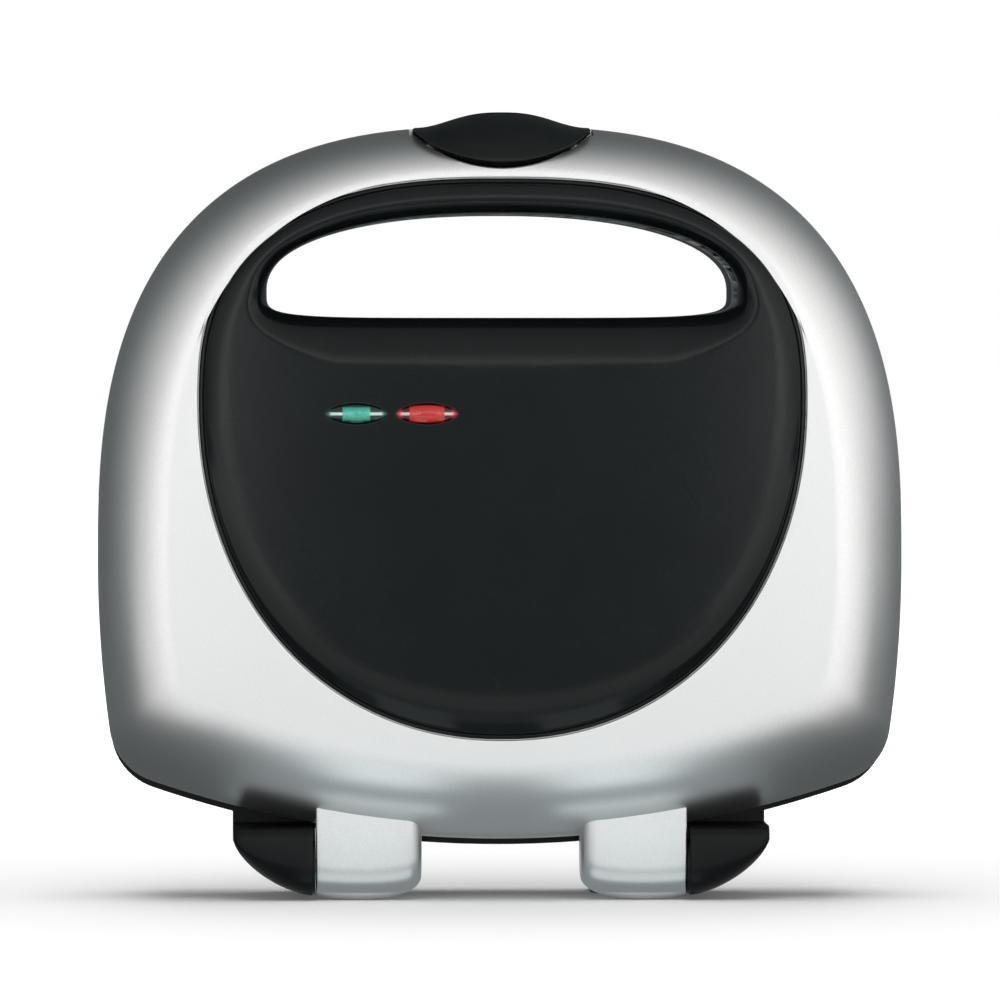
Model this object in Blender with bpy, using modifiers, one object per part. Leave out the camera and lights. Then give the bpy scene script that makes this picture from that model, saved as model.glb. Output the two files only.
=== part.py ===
# A sandwich maker with a hinged lid, standing on its hinge end as it is stored.
# X runs across the machine, Y from the lid (front) to the base (back), Z up. The floor is z = 0
# and the lid meets the base at y = 0. All lengths are in metres.

import math

import bmesh
import bpy
from mathutils import Matrix

# Cooking plates, which the body is laid out round
PLATE_WIDTH = 0.232
PLATE_HEIGHT = 0.132
PLATE_CORNER = 0.014
PLATE_FACE_DEPTH = 0.0008  # from the meeting plane to the cooking face
FLANGE_DEPTH = 0.0038
FLANGE_THICKNESS = 0.003
TABLE_INSET = 0.0035
POCKET_DEPTH = 0.010
POCKET_WALL = 0.0026
POCKET_SLOPE = 0.006
POCKET_CORNER = 0.010
POCKET_MARGIN = 0.0035
POCKET_BEND_SHARES = (0.72, 0.42)  # of the depth and of the slope
RIDGE_WIDTH = 0.006
PLATE_BOSS_RADIUS = 0.0045
PLATE_BOSS_SHARE = 0.265  # of the plate's height, above and below its middle

# Outline of the body, seen from the front
LID_BOTTOM_Z = 0.0186
BODY_SIDE_MARGIN = 0.014  # from the plate out to the widest point
BODY_LOW_MARGIN = 0.0254
BODY_HIGH_MARGIN = 0.0735  # room for the finger opening and the latch
WIDE_DROP = 0.0005  # the widest point lies this far below the plate's middle
SIDE_RADIUS_SHARE = 3.077  # of half the width
BOTTOM_RADIUS_SHARE = 2.6615
CORNER_RADIUS_SHARE = 0.1538
TOP_EXPONENT = 2.7
BASE_STEP = 0.0013  # the base reaches this much lower than the lid

# Depths and walls
LID_DEPTH = 0.0445
BASE_DEPTH = 0.041
WALL = 0.0025
PARTING_GAP = 0.0005  # from the plane where the halves meet to each half
FIT = 0.0003  # gap between pieces that touch
OVERRUN = 0.002  # how far a cut runs past the surface it opens
LID_ROLL_SIDE = 0.023
LID_ROLL_TOP = 0.016
LID_ROLL_BOTTOM = 0.026
LID_ROLL_DEPTH = 0.030
BASE_ROLL = 0.014
BASE_ROLL_DEPTH = 0.016

# Black panel in the lid
PANEL_SIDE_MARGIN = 0.0327  # from the body's widest point in to the panel's
PANEL_TOP_MARGIN = 0.0172
PANEL_BOTTOM_MARGIN = 0.0339
PANEL_WIDE_SHARE = 0.6035  # of the panel's height, where it is widest
PANEL_TOP_EXPONENT = 2.6
PANEL_BOTTOM_EXPONENT = 2.12
PANEL_PROUD = 0.0035
PANEL_EDGE_ROLL = 0.009
PANEL_EDGE_DEPTH = 0.004
PANEL_LEDGE = 0.005
PANEL_LEDGE_DEPTH = 0.0012

# Finger opening
GRIP_SIDE_MARGIN = 0.0213  # from the panel's widest point in to the opening
GRIP_TOP_MARGIN = 0.0114
GRIP_HEIGHT = 0.0333
GRIP_WIDE_SHARE = 0.2042  # of the opening's height, where it is widest
GRIP_TOP_EXPONENT = 2.35
GRIP_BOTTOM_EXPONENT = 6.5
GRIP_FLARE_SIDE = 0.011
GRIP_FLARE_TOP = 0.0045
GRIP_FLARE_BOTTOM = 0.014
GRIP_FLARE_DEPTH = 0.007

# Hinge
HINGE_Y = -0.025
HINGE_Z = 0.011
KNUCKLE_RADIUS = 0.011
KNUCKLE_INNER_X = 0.0256
KNUCKLE_OUTER_X = 0.0597
KNUCKLE_CROWN_X = 0.0455
KNUCKLE_CROWN = 0.0015
KNUCKLE_CORNER_HEIGHT = 0.008
KNUCKLE_EXPONENT = 2.2
KNUCKLE_EDGE = 0.005
KNUCKLE_BITE = 0.0124  # how far the arms reach up into the lid
BRACKET_GAP = 0.0008
BRACKET_WIDTH = 0.0266
BRACKET_RISE = 0.019
BRACKET_EXPONENT = 1.48
BRACKET_REAR_Y = 0.026
BRACKET_RADIUS = 0.0096
BRACKET_FACE_RISE = 0.0084
BRACKET_SHOULDER = 0.0045
LID_SWING_GAP = 0.0012
HINGE_PIN_RADIUS = 0.0022
HINGE_PIN_INNER_X = 0.034
HINGE_PIN_OUTER_X = 0.0725

# Stand posts behind the lid's knuckles, waisted to hold the wound cord
POST_X = 0.0435
POST_Y = 0.022
POST_WIDTH = 0.027
POST_DEPTH = 0.032
POST_CORNER = 0.006
POST_WAIST = 0.003
POST_FOOT_CHAMFER = 0.0012
POST_FLANGE_Z = 0.0045
POST_WAIST_Z = 0.006
POST_SHOULDER_Z = 0.0145
POST_BITE = 0.0114

# Reflector trays and heating elements
REFLECTOR_DEPTH = 0.0158
REFLECTOR_SHEET = 0.0008
REFLECTOR_INSET = 0.0004
ELEMENT_RADIUS = 0.0032
ELEMENT_INSET = 0.0054
ELEMENT_BEND = 0.012
ELEMENT_GAP_X = 0.014
ELEMENT_TAIL_DEPTH = 0.024
TERMINAL_HOLE_RADIUS = 0.0042

# Bezels that frame the plates
BEZEL_THICKNESS = 0.0029
BEZEL_POST_RADIUS = 0.0042
BEZEL_POST_DEPTH = 0.017

# Screws
SCREW_RADIUS = 0.0015
SCREW_BORE_RADIUS = 0.0018
SCREW_HEAD_RADIUS = 0.0035
SCREW_HEAD_HEIGHT = 0.0022
SCREW_WELL_RADIUS = 0.0040
SCREW_LENGTH = 0.014
PLATE_SCREW_LENGTH = 0.009
BOSS_RADIUS = 0.0062
CASE_SCREW_WIDTH_SHARES = (0.5385, 0.8)  # low and high, of half the width
CASE_SCREW_EDGE_RISE = 0.0093  # of the low ones above the lid's bottom edge
CASE_SCREW_PLATE_RISE = 0.010  # of the high ones above the plate

# Latch on the lid's grip
LATCH_HALF_WIDTH = 0.0286
LATCH_TIP_DROP = 0.0011  # from the body's top to the latch's tips
LATCH_HEIGHT = 0.0107
LATCH_BULGE = 0.0058
LATCH_BULGE_EXPONENT = 1.3
LATCH_GAP = 0.0015
LATCH_POCKET_WALL = 0.0022
LATCH_PROUD = 0.0013  # of the lid's face
LATCH_BODY_DEPTH = 0.0158
LATCH_LEAF_BACK_Y = -0.012
LATCH_UNDER_DROP = 0.0018  # this and the drops below are taken from the tips
LATCH_TONGUE_HALF_WIDTH = 0.016
LATCH_TONGUE_BACK_Y = 0.0165
LATCH_SLOT_BACK_Y = 0.019
LATCH_TOOTH_Y = 0.0092
LATCH_TOOTH_THICKNESS = 0.0034
LATCH_TOOTH_HALF_WIDTH = 0.012
LATCH_PIN_DEPTH = 0.0118  # behind the latch's face
LATCH_PIN_DROP = 0.0059
LATCH_PIN_RADIUS = 0.0015
LATCH_PIN_HALF_LENGTH = 0.0258
LATCH_SLOT_DROP = 0.0109
LATCH_LID_SLOT_DROP = 0.0084
LATCH_LEAF_SLOT_DROP = 0.0041
KEEPER_FRONT_Y = 0.0042
KEEPER_DROP = 0.0054
KEEPER_HALF_WIDTH = 0.014
KEEPER_CLEARANCE = 0.0006
EDGE_ROUND = 0.0008

# Indicator lamps
LENS_HALF_LENGTH = 0.010
LENS_HALF_HEIGHT = 0.0036
LENS_DROP = 0.0307  # below the finger opening
READY_X = -0.0469
POWER_X = -0.0243
LENS_PROUD = 0.0006
LENS_SKIRT = 0.0010
LAMP_RADIUS = 0.0021
LAMP_LENGTH = 0.009
LAMP_HOLDER_HEIGHT = 0.010
LAMP_HOLDER_THICKNESS = 0.006
LAMP_HOLDER_MARGIN = 0.004

# Feet under the base
FOOT_RADIUS = 0.009
FOOT_TAPER = 0.0010
FOOT_DIMPLE_RADIUS = 0.0038
FOOT_DIMPLE_DEPTH = 0.0016
FOOT_STEM_RADIUS = 0.003
FOOT_STEM_LENGTH = 0.0045
FOOT_HEIGHT = 0.0073
FOOT_WIDTH_SHARES = (0.7077, 0.6769)  # low and high, of half the width
FOOT_LOW_RISE = 0.0434  # above the lid's bottom edge
FOOT_HIGH_DROP = 0.0445  # below the body's top

# Cord inlet, cord clamp and wiring in the base
GLAND_DEPTH_SHARE = 0.4878  # of the base's depth
GLAND_BORE_RADIUS = 0.0038
GLAND_RADIUS = 0.006
GLAND_FLANGE_RADIUS = 0.008
GLAND_FLANGE = 0.002
GLAND_LENGTH = 0.012
CLAMP_RISE = 0.0184  # above the lid's bottom edge
CLAMP_HEIGHT = 0.008
CLAMP_THICKNESS = 0.004
CLAMP_HALF_WIDTH = 0.015
CLAMP_POST_X = 0.0105
CLAMP_POST_RADIUS = 0.004
CLAMP_POST_LENGTH = 0.0205
CLAMP_SCREW_LENGTH = 0.010
BLOCK_WIDTH = 0.030
BLOCK_HEIGHT = 0.014
BLOCK_DEPTH = 0.011
BLOCK_DROP = 0.042  # below the plate's middle
BLOCK_WIRE_RADIUS = 0.0016
BLOCK_WIRE_PITCH = 0.009
THERMOSTAT_X = 0.045
THERMOSTAT_RADIUS = 0.009
THERMOSTAT_HEIGHT = 0.007
THERMOSTAT_RIM = 0.0012
THERMOSTAT_TAB_WIDTH = 0.0048
THERMOSTAT_TAB_LENGTH = 0.006
THERMOSTAT_TAB_SHEET = 0.0008
FUSE_RADIUS = 0.0022
FUSE_LENGTH = 0.011
FUSE_X = -0.045
LEAD_RADIUS = 0.0011

# Vent slots and the bare recess for a label on the base's back
VENT_COUNT = 7
VENT_PITCH = 0.009
VENT_LENGTH = 0.024
VENT_WIDTH = 0.003
VENT_RISE = 0.015  # above the plate's middle
LABEL_WIDTH = 0.060
LABEL_HEIGHT = 0.034
LABEL_DROP = 0.035
LABEL_SUNK = 0.0006

LID, BASE = -1, 1  # which way each half runs from the meeting plane
SIDES = (-1, 1)
ROUND_STEPS = 14


# Derived places and shares
LID_CUP_DEPTH = 0.005
HALF_WIDTH = PLATE_WIDTH / 2 + BODY_SIDE_MARGIN
PLATE_Z = LID_BOTTOM_Z + BODY_LOW_MARGIN + PLATE_HEIGHT / 2
TOP_Z = PLATE_Z + PLATE_HEIGHT / 2 + BODY_HIGH_MARGIN
WIDE_Z = PLATE_Z - WIDE_DROP
SIDE_RADIUS = SIDE_RADIUS_SHARE * HALF_WIDTH
BOTTOM_RADIUS = BOTTOM_RADIUS_SHARE * HALF_WIDTH
CORNER_RADIUS = CORNER_RADIUS_SHARE * HALF_WIDTH
PLATE_BOSS_Z = PLATE_BOSS_SHARE * PLATE_HEIGHT
PANEL_HALF_WIDTH = HALF_WIDTH - PANEL_SIDE_MARGIN
PANEL_TOP_Z = TOP_Z - PANEL_TOP_MARGIN
PANEL_BOTTOM_Z = LID_BOTTOM_Z + PANEL_BOTTOM_MARGIN
PANEL_WIDE_Z = PANEL_BOTTOM_Z + PANEL_WIDE_SHARE * (PANEL_TOP_Z - PANEL_BOTTOM_Z)
GRIP_HALF_WIDTH = PANEL_HALF_WIDTH - GRIP_SIDE_MARGIN
GRIP_TOP_Z = PANEL_TOP_Z - GRIP_TOP_MARGIN
GRIP_BOTTOM_Z = GRIP_TOP_Z - GRIP_HEIGHT
GRIP_WIDE_Z = GRIP_BOTTOM_Z + GRIP_WIDE_SHARE * GRIP_HEIGHT
KNUCKLE_TOP_Z = LID_BOTTOM_Z + KNUCKLE_BITE
POST_TOP_Z = LID_BOTTOM_Z + POST_BITE
LATCH_TIP_Z = TOP_Z - LATCH_TIP_DROP
LATCH_LOW_Z = LATCH_TIP_Z - LATCH_HEIGHT
LATCH_UNDER_Z = LATCH_TIP_Z - LATCH_UNDER_DROP
LATCH_FRONT_Y = -(LID_DEPTH + LATCH_PROUD)
LATCH_BODY_BACK_Y = LATCH_FRONT_Y + LATCH_BODY_DEPTH
LATCH_PIN_Y = LATCH_FRONT_Y + LATCH_PIN_DEPTH
LATCH_PIN_Z = LATCH_TIP_Z - LATCH_PIN_DROP
LATCH_SLOT_FLOOR_Z = LATCH_TIP_Z - LATCH_SLOT_DROP
LATCH_LID_SLOT_FLOOR_Z = LATCH_TIP_Z - LATCH_LID_SLOT_DROP
LATCH_LEAF_SLOT_FLOOR_Z = LATCH_TIP_Z - LATCH_LEAF_SLOT_DROP
KEEPER_TOP_Z = LATCH_TIP_Z - KEEPER_DROP
LENS_Z = GRIP_BOTTOM_Z - LENS_DROP
LID_SCREW_Y = -(PARTING_GAP + BEZEL_THICKNESS + LID_CUP_DEPTH - WALL)
BASE_SCREW_Y = BEZEL_POST_DEPTH + FIT + WALL
GLAND_Y = GLAND_DEPTH_SHARE * BASE_DEPTH
CLAMP_Z = LID_BOTTOM_Z + CLAMP_RISE
CLAMP_POST_END_Y = BASE_DEPTH - CLAMP_POST_LENGTH
BLOCK_Z = PLATE_Z - BLOCK_DROP
THERMOSTAT_Z = PLATE_Z
FUSE_Z = PLATE_Z
VENT_Z = PLATE_Z + VENT_RISE
LABEL_Z = PLATE_Z - LABEL_DROP
PAN_SHARE = 0.6


# Scene helpers

def clear_scene():
    for thing in list(bpy.data.objects):
        bpy.data.objects.remove(thing, do_unlink=True)


def new_collection(name):
    made = bpy.data.collections.new(name)
    bpy.context.scene.collection.children.link(made)
    return made


def material(name, colour, roughness, metallic=0.0):
    made = bpy.data.materials.new(name)
    made.use_nodes = True
    shader = made.node_tree.nodes["Principled BSDF"]
    shader.inputs["Base Color"].default_value = (*colour, 1.0)
    shader.inputs["Roughness"].default_value = roughness
    shader.inputs["Metallic"].default_value = metallic
    return made


def place(name, mesh, paint=None, matrix=None):
    """A new object of that mesh: a part where it has a paint, a cutter where it has none."""
    made = bpy.data.objects.new(name, mesh)
    if matrix is not None:
        made.matrix_world = matrix
    if paint is None:
        CUTTERS.objects.link(made)
        made.hide_render = True
        made.display_type = "WIRE"
    else:
        PARTS.objects.link(made)
        mesh.materials.append(paint)
    return made


def from_bmesh(name, shape, paint=None):
    bmesh.ops.remove_doubles(shape, verts=shape.verts, dist=MERGE)
    bmesh.ops.dissolve_degenerate(shape, edges=shape.edges, dist=MERGE)
    bmesh.ops.recalc_face_normals(shape, faces=shape.faces)
    mesh = bpy.data.meshes.new(name)
    shape.to_mesh(mesh)
    shape.free()
    return place(name, mesh, paint)


def boolean(target, tool, operation):
    step = target.modifiers.new(f"{operation.lower()} {tool.name}", "BOOLEAN")
    step.operation = operation
    step.object = tool
    step.solver = "EXACT"
    return target


def cut(target, *tools):
    for tool in tools:
        boolean(target, tool, "DIFFERENCE")
    return target


def add(target, *tools):
    for tool in tools:
        boolean(target, tool, "UNION")
    return target


def keep_common(target, tool):
    return boolean(target, tool, "INTERSECT")


MERGE = 1e-7


# Outlines in X and Z

def superellipse(half_width, height, exponent, steps):
    """A quarter from the side (half_width, 0) to the crown (0, height), the crown left out."""
    found = []
    for i in range(steps):
        angle = math.pi / 2 * i / steps
        x = half_width * math.cos(angle) ** (2 / exponent)
        z = height * math.sin(angle) ** (2 / exponent)
        found.append((x, z))
    return found


def mirrored(right_half):
    """A closed outline from its right half, which runs from the bottom centre to the top centre."""
    left_half = [(-x, z) for x, z in reversed(right_half) if x > MERGE]
    return right_half + left_half


def egg(half_width, wide_z, top_z, bottom_z, top_exponent, bottom_exponent, steps=8, grow=0.0):
    top = superellipse(half_width + grow, top_z + grow - wide_z, top_exponent, steps)
    low = superellipse(half_width + grow, wide_z - bottom_z + grow, bottom_exponent, steps)
    right = [(0.0, bottom_z - grow)]
    right += [(x, wide_z - z) for x, z in reversed(low)]
    right += [(x, wide_z + z) for x, z in top[1:]]
    right.append((0.0, top_z + grow))
    return mirrored(right)


def panel_outline(grow=0.0, steps=9):
    return egg(PANEL_HALF_WIDTH, PANEL_WIDE_Z, PANEL_TOP_Z, PANEL_BOTTOM_Z,
               PANEL_TOP_EXPONENT, PANEL_BOTTOM_EXPONENT, steps, grow)


def grip_outline(grow=0.0, flare=0.0, steps=8):
    """The finger opening, grown all round or flared by a share of the full flare."""
    return egg(GRIP_HALF_WIDTH + flare * GRIP_FLARE_SIDE, GRIP_WIDE_Z, GRIP_TOP_Z + flare * GRIP_FLARE_TOP,
               GRIP_BOTTOM_Z - flare * GRIP_FLARE_BOTTOM, GRIP_TOP_EXPONENT, GRIP_BOTTOM_EXPONENT,
               steps, grow)


def arc(centre, radius, start, end, steps):
    """Points on an arc from angle start to angle end, the last one left out."""
    found = []
    for i in range(steps):
        angle = start + (end - start) * i / steps
        found.append((centre[0] + radius * math.cos(angle), centre[1] + radius * math.sin(angle)))
    return found


def corner_centre(low_centre, low_radius, side_centre, side_radius):
    """The centre of the corner arc, which touches the bottom arc and the side arc from inside."""
    dx = side_centre[0] - low_centre[0]
    dz = side_centre[1] - low_centre[1]
    apart = math.hypot(dx, dz)
    reach_low = low_radius - CORNER_RADIUS
    reach_side = side_radius - CORNER_RADIUS
    along = (reach_low ** 2 - reach_side ** 2 + apart ** 2) / (2 * apart)
    across = math.sqrt(reach_low ** 2 - along ** 2)
    ux, uz = dx / apart, dz / apart
    found = [
        (low_centre[0] + along * ux - way * across * uz, low_centre[1] + along * uz + way * across * ux)
        for way in (-1, 1)
    ]
    return max(found, key=lambda point: point[0] - point[1])


def body_outline(bottom_z, steps=(6, 4, 3, 10)):
    """The body's outline: bottom arc, corner arc, side arc and a superellipse over the top."""
    low_centre = (0.0, bottom_z + BOTTOM_RADIUS)
    side_centre = (HALF_WIDTH - SIDE_RADIUS, WIDE_Z)
    corner = corner_centre(low_centre, BOTTOM_RADIUS, side_centre, SIDE_RADIUS)
    low_end = math.atan2(corner[1] - low_centre[1], corner[0] - low_centre[0])
    side_start = math.atan2(corner[1] - side_centre[1], corner[0] - side_centre[0])
    right = arc(low_centre, BOTTOM_RADIUS, -math.pi / 2, low_end, steps[0])
    right += arc(corner, CORNER_RADIUS, low_end, side_start, steps[1])
    right += arc(side_centre, SIDE_RADIUS, side_start, 0.0, steps[2])
    right += [(x, WIDE_Z + z)
              for x, z in superellipse(HALF_WIDTH, TOP_Z - WIDE_Z, TOP_EXPONENT, steps[3])]
    right.append((0.0, TOP_Z))
    return mirrored(right)


def inset_outline(outline, bottom_z, side, top, bottom):
    """The outline drawn in by its own amount at the side, the top and the bottom."""
    across = 1 - side / HALF_WIDTH
    above = 1 - top / (TOP_Z - WIDE_Z)
    below = 1 - bottom / (WIDE_Z - bottom_z)
    return [(x * across, WIDE_Z + (z - WIDE_Z) * (above if z > WIDE_Z else below)) for x, z in outline]


def vesica(half_length, half_height, x, z, grow=0.0, steps=6):
    """A pointed oval of two arcs."""
    radius = (half_length ** 2 + half_height ** 2) / (2 * half_height)
    sweep = math.asin(half_length / radius)
    drop = radius - half_height
    upper = [(math.sin(a) * radius, math.cos(a) * radius - drop)
             for a in (sweep - 2 * sweep * i / steps for i in range(steps))]
    whole = upper + [(-px, -pz) for px, pz in upper]
    scale_x = (half_length + grow) / half_length
    scale_z = (half_height + grow) / half_height
    return [(x + px * scale_x, z + pz * scale_z) for px, pz in whole]


def rounded_box(width, height, radius, x=0.0, z=0.0, steps=4):
    half_w, half_h = width / 2 - radius, height / 2 - radius
    found = []
    for turn, (sx, sz) in enumerate(((1, 1), (-1, 1), (-1, -1), (1, -1))):
        centre = (x + sx * half_w, z + sz * half_h)
        start = turn * math.pi / 2
        found += arc(centre, radius, start, start + math.pi / 2, steps)
        found.append((centre[0] + radius * math.cos(start + math.pi / 2),
                      centre[1] + radius * math.sin(start + math.pi / 2)))
    return found


def rounded_triangle(corners, inset, radius, steps=3):
    """A triangle drawn in by inset from each side, with rounded corners."""
    sides = [math.dist(corners[(i + 1) % 3], corners[(i + 2) % 3]) for i in range(3)]
    round_it = sum(sides)
    middle = [sum(side * corner[k] for side, corner in zip(sides, corners)) / round_it for k in (0, 1)]
    (ax, az), (bx, bz), (cx, cz) = corners
    inner_radius = abs((bx - ax) * (cz - az) - (cx - ax) * (bz - az)) / round_it
    share = (inner_radius - inset - radius) / inner_radius
    centres = [tuple(middle[k] + (corner[k] - middle[k]) * share for k in (0, 1)) for corner in corners]
    found = []
    for i, centre in enumerate(centres):
        before, after = corners[i - 1], corners[(i + 1) % 3]
        here = corners[i]
        start = math.atan2(here[1] - before[1], here[0] - before[0]) - math.pi / 2
        end = math.atan2(after[1] - here[1], after[0] - here[0]) - math.pi / 2
        if end < start:
            end += 2 * math.pi
        for k in range(steps + 1):
            angle = start + (end - start) * k / steps
            found.append((centre[0] + radius * math.cos(angle), centre[1] + radius * math.sin(angle)))
    return found


# Solids

def at_depth(outline, y):
    return [(x, y, z) for x, z in outline]


def loft(name, rings, paint=None):
    """A closed solid through rings of as many points each, with flat ends."""
    shape = bmesh.new()
    rows = [[shape.verts.new(point) for point in ring] for ring in rings]
    count = len(rings[0])
    for low, high in zip(rows, rows[1:]):
        for i in range(count):
            k = (i + 1) % count
            shape.faces.new((low[i], low[k], high[k], high[i]))
    shape.faces.new(rows[0])
    shape.faces.new(rows[-1])
    return from_bmesh(name, shape, paint)


def solid_of_curve(name, curve, matrix, paint):
    """The curve as a welded mesh with its place applied."""
    guide = bpy.data.objects.new(name, curve)
    bpy.context.scene.collection.objects.link(guide)
    guide.matrix_world = matrix
    bpy.context.view_layer.update()
    graph = bpy.context.evaluated_depsgraph_get()
    mesh = bpy.data.meshes.new_from_object(guide.evaluated_get(graph))
    mesh.transform(guide.matrix_world)
    bpy.data.objects.remove(guide, do_unlink=True)
    shape = bmesh.new()
    shape.from_mesh(mesh)
    return from_bmesh(name, shape, paint)


def flat_solid(name, outlines, matrix, thickness, paint=None):
    """A 2D curve with holes, thickened on both sides of its plane."""
    curve = bpy.data.curves.new(name, "CURVE")
    curve.dimensions = "2D"
    curve.fill_mode = "BOTH"
    curve.extrude = thickness / 2
    for outline in outlines:
        spline = curve.splines.new("POLY")
        spline.points.add(len(outline) - 1)
        spline.use_cyclic_u = True
        for point, (u, v) in zip(spline.points, outline):
            point.co = (u, v, 0.0, 1.0)
    return solid_of_curve(name, curve, matrix, paint)


def slab(name, outlines, y_from, y_to, paint=None):
    """A flat solid whose outlines lie in X and Z."""
    turn = Matrix(((1, 0, 0, 0), (0, 0, -1, (y_from + y_to) / 2), (0, 1, 0, 0), (0, 0, 0, 1)))
    return flat_solid(name, outlines, turn, abs(y_to - y_from), paint)


def cross_slab(name, outlines, x_from, x_to, paint=None):
    """A flat solid whose outlines lie in Y and Z."""
    turn = Matrix(((0, 0, 1, (x_from + x_to) / 2), (1, 0, 0, 0), (0, 1, 0, 0), (0, 0, 0, 1)))
    return flat_solid(name, outlines, turn, abs(x_to - x_from), paint)


def box(name, x, y, z, paint=None):
    """A box between two limits on each axis."""
    shape = bmesh.new()
    spans = [limits[1] - limits[0] for limits in (x, y, z)]
    middle = [(limits[0] + limits[1]) / 2 for limits in (x, y, z)]
    bmesh.ops.create_cube(shape, size=1, matrix=Matrix.Translation(middle) @ Matrix.Diagonal((*spans, 1)))
    return from_bmesh(name, shape, paint)


ALONG = {
    "x": Matrix.Rotation(math.pi / 2, 4, "Y"),
    "y": Matrix.Rotation(-math.pi / 2, 4, "X"),
    "z": Matrix.Identity(4),
}


def rod(name, radius, start, end, axis, centre, paint=None, steps=ROUND_STEPS):
    """A cylinder along an axis from start to end. centre is its place on the other two axes."""
    place_at = list(centre)
    place_at.insert("xyz".index(axis), (start + end) / 2)
    shape = bmesh.new()
    bmesh.ops.create_cone(shape, cap_ends=True, segments=steps, radius1=radius, radius2=radius,
                          depth=abs(end - start), matrix=Matrix.Translation(place_at) @ ALONG[axis])
    return from_bmesh(name, shape, paint)


def turned(name, profile, place_at, axis, paint, steps=ROUND_STEPS, closed=False):
    """A profile of (radius, height) points, top to bottom down its outer side, turned round an axis."""
    mesh = bpy.data.meshes.new(name)
    count = len(profile)
    edges = [(i, (i + 1) % count) for i in range(count if closed else count - 1)]
    mesh.from_pydata([(radius, 0.0, height) for radius, height in profile], edges, [])
    made = place(name, mesh, paint, Matrix.Translation(place_at) @ axis)
    spin = made.modifiers.new("turn", "SCREW")
    spin.steps = spin.render_steps = steps
    spin.use_merge_vertices = True
    spin.merge_threshold = MERGE
    return made


def tube(name, points, radius, paint, sides=2):
    """A bent rod or wire with closed ends."""
    curve = bpy.data.curves.new(name, "CURVE")
    curve.dimensions = "3D"
    curve.bevel_depth = radius
    curve.bevel_resolution = sides
    curve.use_fill_caps = True
    spline = curve.splines.new("POLY")
    spline.points.add(len(points) - 1)
    for knot, point in zip(spline.points, points):
        knot.co = (*point, 1.0)
    return solid_of_curve(name, curve, Matrix.Identity(4), paint)


def rounded_path(corners, radius, steps=4):
    """A path through corner points with each inner corner rounded off."""
    found = [corners[0]]
    for before, here, after in zip(corners, corners[1:], corners[2:]):
        into = [h - b for b, h in zip(before, here)]
        out = [a - h for h, a in zip(here, after)]
        long_in, long_out = math.hypot(*into), math.hypot(*out)
        reach = min(radius, long_in / 2, long_out / 2)
        start = [h - d / long_in * reach for h, d in zip(here, into)]
        end = [h + d / long_out * reach for h, d in zip(here, out)]
        for i in range(steps + 1):
            t = i / steps
            found.append(tuple((1 - t) ** 2 * s + 2 * t * (1 - t) * h + t ** 2 * e
                               for s, h, e in zip(start, here, end)))
    found.append(corners[-1])
    return found


# The dished halves of the body

def dished_half(name, way, bottom_z, rim, depth, rolls, roll_depth, inset, paint=None, steps=4):
    """One half of the body as a solid: a wall from the rim, rolled over to a flat face."""
    side, top, bottom = rolls
    outline = body_outline(bottom_z)
    rings = [at_depth(inset_outline(outline, bottom_z, inset, inset, inset), way * rim)]
    for i in range(steps + 1):
        turn = math.pi / 2 * i / steps
        drawn = 1 - math.cos(turn)
        ring = inset_outline(outline, bottom_z, inset + side * drawn, inset + top * drawn,
                             inset + bottom * drawn)
        rings.append(at_depth(ring, way * (depth - roll_depth * (1 - math.sin(turn)))))
    return loft(name, rings, paint)


def lid_edge_z(x):
    """Height of the lid's bottom edge at x."""
    return LID_BOTTOM_Z + BOTTOM_RADIUS - math.sqrt(BOTTOM_RADIUS ** 2 - x ** 2)


def grip_cutter(name, way, depth):
    """The finger opening as a cutter, flared where it meets the outer face."""
    face = depth + OVERRUN
    rings = [at_depth(grip_outline(), -way * OVERRUN),
             at_depth(grip_outline(), way * (depth - GRIP_FLARE_DEPTH))]
    steps = 3
    for i in range(1, steps + 1):
        turn = math.pi / 2 * i / steps
        y = depth - GRIP_FLARE_DEPTH * (1 - math.sin(turn))
        rings.append(at_depth(grip_outline(flare=1 - math.cos(turn)), way * y))
    rings.append(at_depth(grip_outline(flare=1.0), way * face))
    return loft(name, rings)


def case_screw_places():
    low_x, high_x = [share * HALF_WIDTH for share in CASE_SCREW_WIDTH_SHARES]
    low_z = lid_edge_z(low_x) + CASE_SCREW_EDGE_RISE
    high_z = PLATE_Z + PLATE_HEIGHT / 2 + CASE_SCREW_PLATE_RISE
    return [(side * x, z) for x, z in ((low_x, low_z), (high_x, high_z)) for side in SIDES]


# Latch outlines

def latch_arc_radius():
    rise = LATCH_TIP_Z - LATCH_LOW_Z
    return (LATCH_HALF_WIDTH ** 2 + rise ** 2) / (2 * rise)


def latch_low_arc(grow, steps=8):
    """The latch's lower arc from left to right, grown outwards."""
    radius = latch_arc_radius()
    centre_z = LATCH_LOW_Z + radius
    sweep = math.asin(LATCH_HALF_WIDTH / radius)
    return [((radius + grow) * math.sin(a), centre_z - (radius + grow) * math.cos(a))
            for a in (-sweep + 2 * sweep * i / steps for i in range(steps + 1))]


def latch_lip_z(x):
    share = min(1.0, abs(x) / LATCH_HALF_WIDTH)
    return LATCH_TIP_Z + LATCH_BULGE * (1 + math.cos(math.pi * share ** LATCH_BULGE_EXPONENT)) / 2


def latch_leaf_outline():
    steps = 10
    top = [LATCH_HALF_WIDTH * (1 - 2 * i / steps) for i in range(steps + 1)]
    return latch_low_arc(0.0) + [(x, latch_lip_z(x)) for x in top]


def latch_tongue_outline():
    steps = 6
    half = LATCH_TONGUE_HALF_WIDTH
    top = [half * (1 - 2 * i / steps) for i in range(steps + 1)]
    low_z = LATCH_LOW_Z
    return [(-half, low_z), (half, low_z)] + [(x, latch_lip_z(x)) for x in top]


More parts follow.
